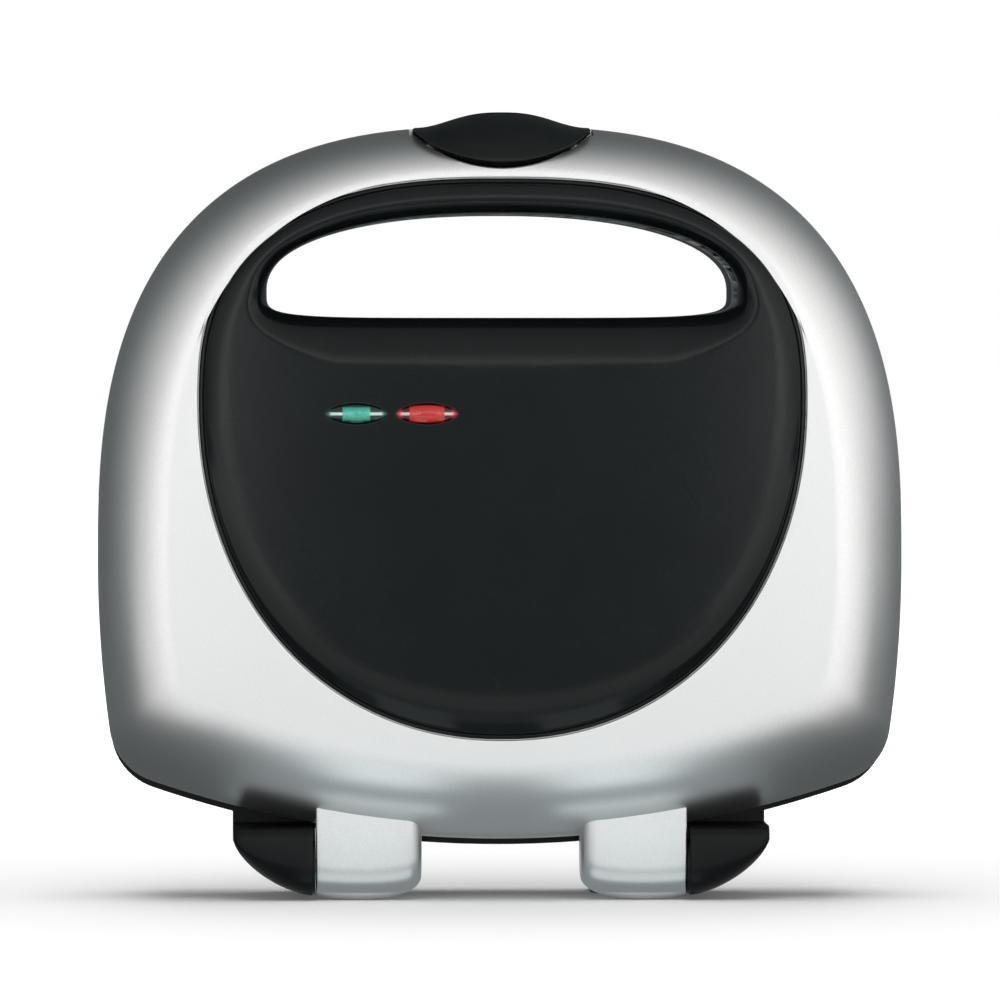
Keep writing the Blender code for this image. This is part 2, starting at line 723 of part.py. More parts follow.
def latch_pocket_outline(grow):
    """The lens-shaped pocket for the latch, open to above the body."""
    low = latch_low_arc(grow)
    reach = low[-1][0] + (TOP_Z - LATCH_TIP_Z) + OVERRUN
    high_z = TOP_Z + LATCH_BULGE + OVERRUN
    return low + [(reach, high_z), (-reach, high_z)]


# Lid

def lid_shell():
    outer = dished_half("lid_shell", LID, LID_BOTTOM_Z, PARTING_GAP, LID_DEPTH,
                        (LID_ROLL_SIDE, LID_ROLL_TOP, LID_ROLL_BOTTOM), LID_ROLL_DEPTH, 0.0, SILVER)
    cavity = dished_half("lid cavity", LID, LID_BOTTOM_Z, -OVERRUN, LID_DEPTH - WALL,
                         (LID_ROLL_SIDE, LID_ROLL_TOP, LID_ROLL_BOTTOM), LID_ROLL_DEPTH, WALL)
    boss_y = -(PARTING_GAP + BEZEL_THICKNESS + LID_CUP_DEPTH + FIT)
    for x, z in case_screw_places():
        cut(cavity, rod("lid boss", BOSS_RADIUS, boss_y, -LID_DEPTH, "y", (x, z)))
    back_y = LATCH_BODY_BACK_Y + LATCH_GAP
    rim_y = -(PARTING_GAP + BEZEL_THICKNESS + FIT)
    pocket_wall = LATCH_GAP + LATCH_POCKET_WALL
    cut(cavity,
        slab("latch pocket liner", [latch_pocket_outline(pocket_wall)], -LID_DEPTH - OVERRUN,
             back_y + LATCH_POCKET_WALL),
        latch_slot("lid tongue slot liner", LATCH_TONGUE_HALF_WIDTH, LATCH_LID_SLOT_FLOOR_Z,
                   LATCH_POCKET_WALL, LATCH_BODY_BACK_Y, rim_y),
        latch_slot("lid leaf slot liner", LATCH_HALF_WIDTH, LATCH_LEAF_SLOT_FLOOR_Z,
                   LATCH_POCKET_WALL, LATCH_BODY_BACK_Y,
                   LATCH_LEAF_BACK_Y + LATCH_GAP + LATCH_POCKET_WALL))
    cut(outer, cavity)
    for side in SIDES:
        add(outer, knuckle(side))
    face = -(LID_DEPTH + OVERRUN)
    cut(outer,
        slab("panel ledge", [panel_outline(FIT)], face, -(LID_DEPTH - PANEL_LEDGE_DEPTH)),
        slab("panel hole", [panel_outline(-PANEL_LEDGE)], face, -(LID_DEPTH - WALL - OVERRUN)),
        panel_dish("dish clearance", FIT),
        slab("latch pocket", [latch_pocket_outline(LATCH_GAP)], face, back_y),
        latch_slot("lid tongue slot", LATCH_TONGUE_HALF_WIDTH, LATCH_LID_SLOT_FLOOR_Z, 0.0,
                   LATCH_BODY_BACK_Y, OVERRUN),
        latch_slot("lid leaf slot", LATCH_HALF_WIDTH, LATCH_LEAF_SLOT_FLOOR_Z, 0.0,
                   LATCH_BODY_BACK_Y, LATCH_LEAF_BACK_Y + LATCH_GAP),
        rod("latch pin bore", LATCH_PIN_RADIUS + FIT, -LATCH_PIN_HALF_LENGTH - FIT,
            LATCH_PIN_HALF_LENGTH + FIT, "x", (LATCH_PIN_Y, LATCH_PIN_Z)))
    for x, z in case_screw_places():
        cut(outer, rod("lid screw bore", SCREW_BORE_RADIUS, OVERRUN, LID_SCREW_Y - SCREW_LENGTH - FIT,
                       "y", (x, z)))
    for side in SIDES:
        cut(outer, rod("knuckle bore", HINGE_PIN_RADIUS + FIT, side * (HINGE_PIN_INNER_X - FIT),
                       side * (KNUCKLE_OUTER_X + OVERRUN), "x", (HINGE_Y, HINGE_Z)))
    return outer


def latch_slot(name, half_width, floor_z, wall, y_from, y_to):
    """The slot that the latch moves in, or with a wall the block that the slot is cut in."""
    half = half_width + LATCH_GAP + wall
    top_z = TOP_Z + LATCH_BULGE
    return box(name, (-half, half), (y_from, y_to), (floor_z - wall, top_z))


def knuckle(side):
    """A knuckle under the lid: a barrel with an arm, cut to its outline as seen from the front."""
    front, back = HINGE_Y - KNUCKLE_RADIUS, HINGE_Y + KNUCKLE_RADIUS
    barrel = arc((HINGE_Y, HINGE_Z), KNUCKLE_RADIUS, math.pi, 2 * math.pi, 10)
    profile = barrel + [(back, HINGE_Z), (back, KNUCKLE_TOP_Z), (front, KNUCKLE_TOP_Z)]
    steps = 6
    inner_width = KNUCKLE_CROWN_X - KNUCKLE_INNER_X
    corner = superellipse(inner_width, KNUCKLE_CORNER_HEIGHT, KNUCKLE_EXPONENT, steps)
    outline = [(KNUCKLE_CROWN_X - x, KNUCKLE_CORNER_HEIGHT - z) for x, z in corner]
    outer_width = KNUCKLE_OUTER_X - KNUCKLE_CROWN_X
    for i in range(steps + 1):
        share = i / steps
        outline.append((KNUCKLE_CROWN_X + share * outer_width,
                        KNUCKLE_CROWN * share ** KNUCKLE_EXPONENT))
    outline += [(KNUCKLE_OUTER_X, KNUCKLE_TOP_Z), (KNUCKLE_INNER_X, KNUCKLE_TOP_Z)]
    outline = [(side * x, z) for x, z in outline]
    ends = sorted((side * KNUCKLE_INNER_X, side * KNUCKLE_OUTER_X))
    made = cross_slab("knuckle", [profile], *ends)
    keep_common(made, slab("knuckle outline", [outline], front - OVERRUN, back + OVERRUN))
    edge = arc((KNUCKLE_INNER_X + KNUCKLE_EDGE, front + KNUCKLE_EDGE), KNUCKLE_EDGE, math.pi,
               3 * math.pi / 2, 4)
    plan = edge + [(KNUCKLE_INNER_X + KNUCKLE_EDGE, front), (KNUCKLE_OUTER_X + OVERRUN, front),
                   (KNUCKLE_OUTER_X + OVERRUN, back + OVERRUN), (KNUCKLE_INNER_X, back + OVERRUN)]
    plan = [(side * x, y) for x, y in plan]
    return keep_common(made, loft("knuckle plan", [[(x, y, z) for x, y in plan]
                                                   for z in (-OVERRUN, KNUCKLE_TOP_Z + OVERRUN)]))


def lid_panel():
    face = LID_DEPTH + PANEL_PROUD
    edge = LID_DEPTH - PANEL_LEDGE_DEPTH + FIT
    rings = [at_depth(panel_outline(), -edge)]
    steps = 4
    for i in range(steps + 1):
        turn = math.pi / 2 * i / steps
        drawn = PANEL_EDGE_ROLL * (1 - math.cos(turn))
        rings.append(at_depth(panel_outline(-drawn), -(face - PANEL_EDGE_DEPTH * (1 - math.sin(turn)))))
    panel = loft("lid_panel", rings, BLACK_GLOSS)
    cut(panel, slab("panel hollow", [panel_outline(-PANEL_LEDGE - WALL)], -(face - WALL), 0.0))
    collar = slab("panel collar", [grip_outline(WALL)], -PARTING_GAP, -(face - GRIP_FLARE_DEPTH))
    add(panel, collar, panel_dish("panel dish", 0.0))
    cut(panel, grip_cutter("lid grip", LID, face))
    for x in (READY_X, POWER_X):
        cut(panel, slab("lens hole", [vesica(LENS_HALF_LENGTH, LENS_HALF_HEIGHT, x, LENS_Z, FIT)],
                        -(face + OVERRUN), -(face - WALL - OVERRUN)))
    return panel


def panel_dish(name, grow):
    """The panel's inner side round the finger opening, where it flares."""
    face = LID_DEPTH + PANEL_PROUD
    return loft(name, [at_depth(grip_outline(WALL / 2 + grow), -(face - GRIP_FLARE_DEPTH - WALL)),
                       at_depth(grip_outline(WALL + grow, 1.0), -(face - WALL / 2))])


def bezel(name, way, bottom_z):
    """The inner frame round a plate, let into the rim of its half."""
    inset = WALL + FIT
    outline = inset_outline(body_outline(bottom_z), bottom_z, inset, inset, inset)
    opening = rounded_box(PLATE_WIDTH - 2 * TABLE_INSET + 2 * FIT, PLATE_HEIGHT - 2 * TABLE_INSET + 2 * FIT,
                          PLATE_CORNER - TABLE_INSET, z=PLATE_Z)
    made = slab(name, [outline, opening, grip_outline(WALL + FIT)], way * PARTING_GAP,
                way * (PARTING_GAP + BEZEL_THICKNESS), BLACK_SATIN)
    return made


def lid_bezel():
    made = bezel("lid_bezel", LID, LID_BOTTOM_Z)
    back = PARTING_GAP + BEZEL_THICKNESS
    for x, z in case_screw_places():
        add(made, rod("bezel cup", BOSS_RADIUS, -back + PARTING_GAP, -(back + LID_CUP_DEPTH), "y", (x, z)))
    for x, z in case_screw_places():
        cut(made,
            rod("bezel cup well", SCREW_WELL_RADIUS, OVERRUN, LID_SCREW_Y, "y", (x, z)),
            rod("bezel cup bore", SCREW_BORE_RADIUS, 0.0, -LID_DEPTH, "y", (x, z)))
    cut(made, latch_slot("lid bezel slot", LATCH_TONGUE_HALF_WIDTH, LATCH_LID_SLOT_FLOOR_Z,
                         LATCH_POCKET_WALL, -LID_DEPTH, OVERRUN))
    return made


def base_bezel():
    made = bezel("base_bezel", BASE, LID_BOTTOM_Z - BASE_STEP)
    back = PARTING_GAP + BEZEL_THICKNESS
    for x, z in case_screw_places():
        add(made, rod("bezel post", BEZEL_POST_RADIUS, back - PARTING_GAP, BEZEL_POST_DEPTH, "y", (x, z)))
    for x, z in case_screw_places():
        cut(made, rod("bezel post bore", SCREW_BORE_RADIUS, BASE_SCREW_Y - SCREW_LENGTH - FIT,
                      BASE_DEPTH, "y", (x, z)))
    cut(made, latch_slot("base bezel slot", LATCH_TONGUE_HALF_WIDTH, LATCH_SLOT_FLOOR_Z,
                         LATCH_POCKET_WALL, -OVERRUN, BASE_DEPTH))
    return made


# Base

def base_shell():
    bottom_z = LID_BOTTOM_Z - BASE_STEP
    rolls = (BASE_ROLL, BASE_ROLL, BASE_ROLL)
    outer = dished_half("base_shell", BASE, bottom_z, PARTING_GAP, BASE_DEPTH, rolls, BASE_ROLL_DEPTH,
                        0.0, BLACK_SATIN)
    cavity = dished_half("base cavity", BASE, bottom_z, -OVERRUN, BASE_DEPTH - WALL, rolls,
                         BASE_ROLL_DEPTH, WALL)
    for x, z in case_screw_places():
        cut(cavity, rod("base boss", BOSS_RADIUS, BEZEL_POST_DEPTH + FIT, BASE_DEPTH, "y", (x, z)))
    for side in SIDES:
        cut(cavity, rod("clamp post", CLAMP_POST_RADIUS, CLAMP_POST_END_Y, BASE_DEPTH, "y",
                        (side * CLAMP_POST_X, CLAMP_Z)))
    rim_y = PARTING_GAP + BEZEL_THICKNESS + FIT
    cut(cavity,
        slab("base collar", [grip_outline(WALL)], -2 * OVERRUN, BASE_DEPTH),
        latch_slot("base slot liner", LATCH_TONGUE_HALF_WIDTH, LATCH_SLOT_FLOOR_Z,
                   LATCH_POCKET_WALL, rim_y, LATCH_SLOT_BACK_Y + LATCH_POCKET_WALL))
    cut(outer, cavity)
    for side in SIDES:
        add(outer, bracket(side), stand_post(side))
    cut(outer,
        latch_slot("base slot", LATCH_TONGUE_HALF_WIDTH, LATCH_SLOT_FLOOR_Z, 0.0, -OVERRUN,
                   LATCH_SLOT_BACK_Y),
        grip_cutter("base grip", BASE, BASE_DEPTH),
        rod("gland hole", GLAND_RADIUS + FIT, 0.0, CLAMP_Z - CLAMP_HEIGHT / 2, "z", (0.0, GLAND_Y)),
        slab("label recess", [rounded_box(LABEL_WIDTH, LABEL_HEIGHT, CLAMP_POST_RADIUS, z=LABEL_Z)],
             BASE_DEPTH - LABEL_SUNK, BASE_DEPTH + OVERRUN))
    add(outer, box("keeper", (-KEEPER_HALF_WIDTH, KEEPER_HALF_WIDTH),
                   (KEEPER_FRONT_Y, LATCH_TOOTH_Y - KEEPER_CLEARANCE),
                   (LATCH_SLOT_FLOOR_Z - LATCH_POCKET_WALL / 2, KEEPER_TOP_Z)))
    for x, z in case_screw_places():
        cut(outer,
            rod("base screw well", SCREW_WELL_RADIUS, BASE_SCREW_Y, BASE_DEPTH + OVERRUN, "y", (x, z)),
            rod("base screw bore", SCREW_BORE_RADIUS, 0.0, BASE_DEPTH, "y", (x, z)))
    for x, z in foot_places():
        cut(outer, rod("foot hole", FOOT_STEM_RADIUS + FIT, BASE_DEPTH - WALL - OVERRUN,
                       BASE_DEPTH + OVERRUN, "y", (x, z)))
    for side in SIDES:
        cut(outer,
            rod("clamp screw bore", SCREW_BORE_RADIUS, 0.0,
                CLAMP_POST_END_Y + CLAMP_SCREW_LENGTH, "y", (side * CLAMP_POST_X, CLAMP_Z)),
            rod("bracket bore", HINGE_PIN_RADIUS + FIT, side * (KNUCKLE_OUTER_X - OVERRUN),
                side * (HINGE_PIN_OUTER_X + FIT), "x", (HINGE_Y, HINGE_Z)))
    for i in range(VENT_COUNT):
        x = (i - (VENT_COUNT - 1) / 2) * VENT_PITCH
        slot = rounded_box(VENT_WIDTH, VENT_LENGTH, VENT_WIDTH / 2 - MERGE, x, VENT_Z, 2)
        cut(outer, slab("vent", [slot], BASE_DEPTH - WALL - OVERRUN, BASE_DEPTH + OVERRUN))
    return outer


def bracket(side):
    """A hinge bracket: a barrel on the hinge axis with an arm back to the base's bottom wall."""
    inner_x = KNUCKLE_OUTER_X + BRACKET_GAP
    top_z = lid_edge_z(inner_x) - LID_SWING_GAP
    barrel = arc((HINGE_Y, HINGE_Z), BRACKET_RADIUS, math.pi, 3 * math.pi / 2, 6)
    low_z = HINGE_Z - BRACKET_RADIUS
    front = HINGE_Y - BRACKET_RADIUS
    profile = barrel + [(HINGE_Y, low_z), (BRACKET_REAR_Y, low_z), (BRACKET_REAR_Y, POST_TOP_Z),
                        (PARTING_GAP, POST_TOP_Z), (PARTING_GAP, top_z),
                        (front + BRACKET_SHOULDER, top_z), (front, HINGE_Z + BRACKET_FACE_RISE)]
    steps = 8
    curve = superellipse(BRACKET_WIDTH, BRACKET_RISE, BRACKET_EXPONENT, steps)
    outline = [(inner_x + x, low_z + BRACKET_RISE - z) for x, z in curve]
    outline += [(inner_x, low_z), (inner_x, POST_TOP_Z), (inner_x + BRACKET_WIDTH, POST_TOP_Z)]
    outline = [(side * x, z) for x, z in outline]
    ends = sorted((side * inner_x, side * (inner_x + BRACKET_WIDTH)))
    made = cross_slab("bracket", [profile], *ends)
    keep_common(made, slab("bracket outline", [outline], HINGE_Y - KNUCKLE_RADIUS,
                           BRACKET_REAR_Y + OVERRUN))
    bottom_z = LID_BOTTOM_Z - BASE_STEP
    inset = WALL + FIT / 2
    bezel_space = inset_outline(body_outline(bottom_z), bottom_z, inset, inset, inset)
    cut(made, slab("bezel space", [bezel_space], -OVERRUN, PARTING_GAP + BEZEL_THICKNESS + FIT))
    return made


def stand_post(side):
    rings = []
    for z, inset in ((0.0, POST_FOOT_CHAMFER), (POST_FOOT_CHAMFER, 0.0), (POST_FLANGE_Z, 0.0),
                     (POST_WAIST_Z, POST_WAIST), (POST_SHOULDER_Z, POST_WAIST), (POST_TOP_Z, 0.0)):
        outline = rounded_box(POST_WIDTH - 2 * inset, POST_DEPTH - 2 * inset, POST_CORNER,
                              side * POST_X, POST_Y)
        rings.append([(x, y, z) for x, y in outline])
    return loft("stand post", rings)


# Plates, reflectors and elements

def pocket_triangles():
    """The four pockets' corner points: two triangles in each of the two bays."""
    right = PLATE_WIDTH / 2 - TABLE_INSET - POCKET_MARGIN
    half = PLATE_HEIGHT / 2 - TABLE_INSET - POCKET_MARGIN
    left = RIDGE_WIDTH / 2
    low, high = PLATE_Z - half, PLATE_Z + half
    bay = (((left, low), (right, low), (right, high)), ((left, low), (right, high), (left, high)))
    return list(bay) + [tuple((-x, z) for x, z in reversed(corners)) for corners in bay]


def pocket(name, way, corners, grow, depth):
    """A pocket, or with grow the bulge that it makes in the plate's back."""
    bend_depth, bend_slope = POCKET_BEND_SHARES
    inset = RIDGE_WIDTH / 2 - grow
    radius = POCKET_CORNER + grow
    start = PLATE_FACE_DEPTH - OVERRUN if depth == POCKET_DEPTH else FLANGE_DEPTH
    rings = []
    for y, drawn in ((start, 0.0), (PLATE_FACE_DEPTH + grow, 0.0),
                     (PLATE_FACE_DEPTH + depth * bend_depth, POCKET_SLOPE * bend_slope),
                     (PLATE_FACE_DEPTH + depth, POCKET_SLOPE)):
        if rings and y <= start:
            continue
        rings.append(at_depth(rounded_triangle(corners, inset + drawn, radius), way * y))
    return loft(name, rings)


def cooking_plate(name, way):
    flange = rounded_box(PLATE_WIDTH, PLATE_HEIGHT, PLATE_CORNER, z=PLATE_Z)
    table = rounded_box(PLATE_WIDTH - 2 * TABLE_INSET, PLATE_HEIGHT - 2 * TABLE_INSET,
                        PLATE_CORNER - TABLE_INSET, z=PLATE_Z)
    back = FLANGE_DEPTH + FLANGE_THICKNESS
    made = loft(name, [at_depth(table, way * PLATE_FACE_DEPTH), at_depth(table, way * FLANGE_DEPTH),
                       at_depth(flange, way * FLANGE_DEPTH), at_depth(flange, way * back)], NONSTICK)
    for corners in pocket_triangles():
        add(made, pocket("pocket bulge", way, corners, POCKET_WALL, POCKET_DEPTH + POCKET_WALL))
    boss_end = REFLECTOR_DEPTH - REFLECTOR_SHEET - FIT
    for z in plate_screw_heights():
        add(made, rod("plate boss", PLATE_BOSS_RADIUS, way * FLANGE_DEPTH, way * boss_end, "y", (0.0, z)))
    for corners in pocket_triangles():
        cut(made, pocket("pocket", way, corners, 0.0, POCKET_DEPTH))
    for z in plate_screw_heights():
        cut(made, rod("plate screw bore", SCREW_BORE_RADIUS,
                      way * (REFLECTOR_DEPTH + FIT - PLATE_SCREW_LENGTH - FIT), way * BASE_DEPTH,
                      "y", (0.0, z)))
    return made


def plate_screw_heights():
    return [PLATE_Z + side * PLATE_BOSS_Z for side in SIDES]


def reflector(name, way):
    rim = FLANGE_DEPTH + FLANGE_THICKNESS + FIT
    rings = []
    for y, inset in ((rim, REFLECTOR_INSET), (REFLECTOR_DEPTH - ELEMENT_RADIUS, REFLECTOR_INSET),
                     (REFLECTOR_DEPTH, REFLECTOR_INSET + REFLECTOR_SHEET)):
        rings.append((y, inset))
    outside = loft(name, [at_depth(tray_outline(inset), way * y) for y, inset in rings], STEEL_SHEET)
    inside = [(rim - OVERRUN, REFLECTOR_INSET)] + rings[1:-1]
    inside.append((REFLECTOR_DEPTH - REFLECTOR_SHEET, REFLECTOR_INSET + REFLECTOR_SHEET))
    cut(outside, loft("tray hollow", [at_depth(tray_outline(inset + REFLECTOR_SHEET), way * y)
                                      for y, inset in inside]))
    for z in plate_screw_heights():
        cut(outside, rod("tray screw hole", SCREW_BORE_RADIUS, 0.0, way * BASE_DEPTH, "y", (0.0, z)))
    for side in SIDES:
        cut(outside, rod("tray terminal hole", TERMINAL_HOLE_RADIUS, way * rim, way * BASE_DEPTH, "y",
                         (side * ELEMENT_GAP_X, element_low_z())))
    return outside


def tray_outline(inset):
    return rounded_box(PLATE_WIDTH - 2 * inset, PLATE_HEIGHT - 2 * inset, PLATE_CORNER - inset, z=PLATE_Z)


def element_low_z():
    return PLATE_Z - PLATE_HEIGHT / 2 + ELEMENT_INSET


def element(name, way):
    """A tubular heating element that runs round the plate, both ends led out at the back."""
    y = way * (FLANGE_DEPTH + FLANGE_THICKNESS + FIT + ELEMENT_RADIUS)
    end_y = way * ELEMENT_TAIL_DEPTH
    x = PLATE_WIDTH / 2 - ELEMENT_INSET
    low, high = element_low_z(), PLATE_Z + PLATE_HEIGHT / 2 - ELEMENT_INSET
    corners = [(-ELEMENT_GAP_X, end_y, low), (-ELEMENT_GAP_X, y, low), (-x, y, low), (-x, y, high),
               (x, y, high), (x, y, low), (ELEMENT_GAP_X, y, low), (ELEMENT_GAP_X, end_y, low)]
    return tube(name, rounded_path(corners, ELEMENT_BEND), ELEMENT_RADIUS, STEEL)


# Latch, lamps and small pieces

def latch():
    front = LATCH_FRONT_Y
    leaf = latch_leaf_outline()
    middle_z = (LATCH_TIP_Z + LATCH_LOW_Z) / 2
    share = 1 - EDGE_ROUND / (LATCH_TIP_Z - LATCH_LOW_Z)
    faced = [(x * share, middle_z + (z - middle_z) * share) for x, z in leaf]
    made = loft("latch", [at_depth(faced, front), at_depth(leaf, front + EDGE_ROUND),
                          at_depth(leaf, LATCH_LEAF_BACK_Y)], BLACK_SATIN)
    add(made, slab("latch tongue", [latch_tongue_outline()], LATCH_BODY_BACK_Y, LATCH_TONGUE_BACK_Y))
    half = LATCH_HALF_WIDTH
    cut(made, box("latch underside", (-half, half), (LATCH_BODY_BACK_Y, LATCH_TONGUE_BACK_Y + OVERRUN),
                  (LATCH_LOW_Z - OVERRUN, LATCH_UNDER_Z)))
    add(made, box("latch tooth", (-LATCH_TOOTH_HALF_WIDTH, LATCH_TOOTH_HALF_WIDTH),
                  (LATCH_TOOTH_Y, LATCH_TOOTH_Y + LATCH_TOOTH_THICKNESS),
                  (KEEPER_TOP_Z + KEEPER_CLEARANCE, LATCH_UNDER_Z + EDGE_ROUND)))
    cut(made, rod("latch pin hole", LATCH_PIN_RADIUS + FIT, -half, half, "x", (LATCH_PIN_Y, LATCH_PIN_Z)))
    return made


def lens(name, x, paint):
    face = LID_DEPTH + PANEL_PROUD
    back = face - WALL - FIT
    rings = []
    for y, grow in ((back - LENS_SKIRT, LENS_SKIRT), (back, LENS_SKIRT), (back, 0.0), (face, 0.0),
                    (face + LENS_PROUD, -LENS_PROUD)):
        rings.append(at_depth(vesica(LENS_HALF_LENGTH, LENS_HALF_HEIGHT, x, LENS_Z, grow), -y))
    return loft(name, rings, paint)


def lamp_back_y():
    return -(LID_DEPTH + PANEL_PROUD - WALL - FIT - LENS_SKIRT - FIT - LAMP_LENGTH)


def lamp(name, x):
    return rod(name, LAMP_RADIUS, lamp_back_y() - LAMP_LENGTH, lamp_back_y(), "y", (x, LENS_Z), GLASS,
               steps=12)


def lamp_holder():
    face = -(LID_DEPTH + PANEL_PROUD - WALL - FIT)
    back = lamp_back_y() + LAMP_HOLDER_THICKNESS / 2
    left = READY_X - LENS_HALF_LENGTH - LENS_SKIRT - FIT
    right = POWER_X + LENS_HALF_LENGTH + LENS_SKIRT + FIT
    low, high = LENS_Z - LAMP_HOLDER_HEIGHT / 2, LENS_Z + LAMP_HOLDER_HEIGHT / 2
    made = box("lamp_holder", (left - LAMP_HOLDER_MARGIN, right + LAMP_HOLDER_MARGIN), (face, back),
               (low, high), BLACK_SATIN)
    cut(made, box("holder hollow", (left, right), (face - OVERRUN, back - LAMP_HOLDER_THICKNESS),
                  (low - OVERRUN, high + OVERRUN)))
    for x in (READY_X, POWER_X):
        cut(made, rod("holder bore", LAMP_RADIUS + FIT, face, lamp_back_y() + FIT, "y", (x, LENS_Z)))
    return made


def screw(name, x, y, z, head_way, length=SCREW_LENGTH):
    """A pan-head screw. y is the underside of its head, head_way the side its head faces."""
    head, under = SCREW_HEAD_HEIGHT, -length
    profile = [(0.0, head), (SCREW_HEAD_RADIUS * PAN_SHARE, head), (SCREW_HEAD_RADIUS, head * PAN_SHARE),
               (SCREW_HEAD_RADIUS, 0.0), (SCREW_RADIUS, 0.0), (SCREW_RADIUS, under + SCREW_RADIUS),
               (0.0, under)]
    axis = Matrix.Rotation(-head_way * math.pi / 2, 4, "X")
    return turned(name, profile, (x, y, z), axis, STEEL, steps=10)


def foot_places():
    low_x, high_x = [share * HALF_WIDTH for share in FOOT_WIDTH_SHARES]
    low_z, high_z = LID_BOTTOM_Z + FOOT_LOW_RISE, TOP_Z - FOOT_HIGH_DROP
    return [(side * x, z) for x, z in ((low_x, low_z), (high_x, high_z)) for side in SIDES]


def foot(name, x, z):
    height = FOOT_HEIGHT
    profile = [(0.0, height - FOOT_DIMPLE_DEPTH), (FOOT_DIMPLE_RADIUS, height - FOOT_DIMPLE_DEPTH),
               (FOOT_DIMPLE_RADIUS, height), (FOOT_RADIUS - FOOT_TAPER, height),
               (FOOT_RADIUS, height - FOOT_TAPER), (FOOT_RADIUS, 0.0), (FOOT_STEM_RADIUS, 0.0),
               (FOOT_STEM_RADIUS, -FOOT_STEM_LENGTH), (0.0, -FOOT_STEM_LENGTH)]
    return turned(name, profile, (x, BASE_DEPTH + FIT, z), ALONG["y"], RUBBER)


def cord_gland():
    """A rubber bush for the cord in the base's bottom wall, its flange outside."""
    wall_z = LID_BOTTOM_Z - BASE_STEP
    profile = [(GLAND_BORE_RADIUS, GLAND_LENGTH), (GLAND_RADIUS, GLAND_LENGTH), (GLAND_RADIUS, -FIT),
               (GLAND_FLANGE_RADIUS, -FIT), (GLAND_FLANGE_RADIUS, -FIT - GLAND_FLANGE),
               (GLAND_BORE_RADIUS, -FIT - GLAND_FLANGE)]
    return turned("cord_gland", profile, (0.0, GLAND_Y, wall_z), ALONG["z"], RUBBER, closed=True)


def cord_clamp():
    back = CLAMP_POST_END_Y - FIT
    made = box("cord_clamp", (-CLAMP_HALF_WIDTH, CLAMP_HALF_WIDTH), (back - CLAMP_THICKNESS, back),
               (CLAMP_Z - CLAMP_HEIGHT / 2, CLAMP_Z + CLAMP_HEIGHT / 2), BLACK_SATIN)
    for side in SIDES:
        cut(made, rod("clamp hole", SCREW_BORE_RADIUS, 0.0, BASE_DEPTH, "y",
                      (side * CLAMP_POST_X, CLAMP_Z)))
    return made


def terminal_block():
    back = BASE_DEPTH - WALL - FIT
    made = box("terminal_block", (-BLOCK_WIDTH / 2, BLOCK_WIDTH / 2), (back - BLOCK_DEPTH, back),
               (BLOCK_Z - BLOCK_HEIGHT / 2, BLOCK_Z + BLOCK_HEIGHT / 2), CERAMIC)
    for i in (-1, 0, 1):
        cut(made, rod("wire hole", BLOCK_WIRE_RADIUS, BLOCK_Z - BLOCK_HEIGHT, BLOCK_Z + BLOCK_HEIGHT,
                      "z", (i * BLOCK_WIRE_PITCH, back - BLOCK_DEPTH / 2)))
    return made


def thermostat():
    front = REFLECTOR_DEPTH + FIT
    made = rod("thermostat", THERMOSTAT_RADIUS, front, front + THERMOSTAT_HEIGHT, "y",
               (THERMOSTAT_X, THERMOSTAT_Z), CERAMIC)
    add(made, rod("thermostat rim", THERMOSTAT_RADIUS + THERMOSTAT_RIM, front, front + THERMOSTAT_RIM,
                  "y", (THERMOSTAT_X, THERMOSTAT_Z)))
    for side in SIDES:
        x = THERMOSTAT_X + side * (THERMOSTAT_RADIUS - THERMOSTAT_TAB_SHEET)
        near, far = sorted((x, x + side * THERMOSTAT_TAB_LENGTH))
        tab_y = front + THERMOSTAT_HEIGHT / 2
        add(made, box("thermostat tab", (near, far), (tab_y, tab_y + THERMOSTAT_TAB_SHEET),
                      (THERMOSTAT_Z - THERMOSTAT_TAB_WIDTH / 2, THERMOSTAT_Z + THERMOSTAT_TAB_WIDTH / 2)))
    return made


def thermal_fuse():
    y = REFLECTOR_DEPTH + FIT + FUSE_RADIUS
    half = FUSE_LENGTH / 2
    profile = [(0.0, half + FUSE_LENGTH), (LEAD_RADIUS, half + FUSE_LENGTH), (LEAD_RADIUS, half),
               (FUSE_RADIUS, half), (FUSE_RADIUS, -half), (LEAD_RADIUS, -half),
               (LEAD_RADIUS, -half - FUSE_LENGTH), (0.0, -half - FUSE_LENGTH)]
    return turned("thermal_fuse", profile, (FUSE_X, y, FUSE_Z), ALONG["z"], STEEL, steps=12)


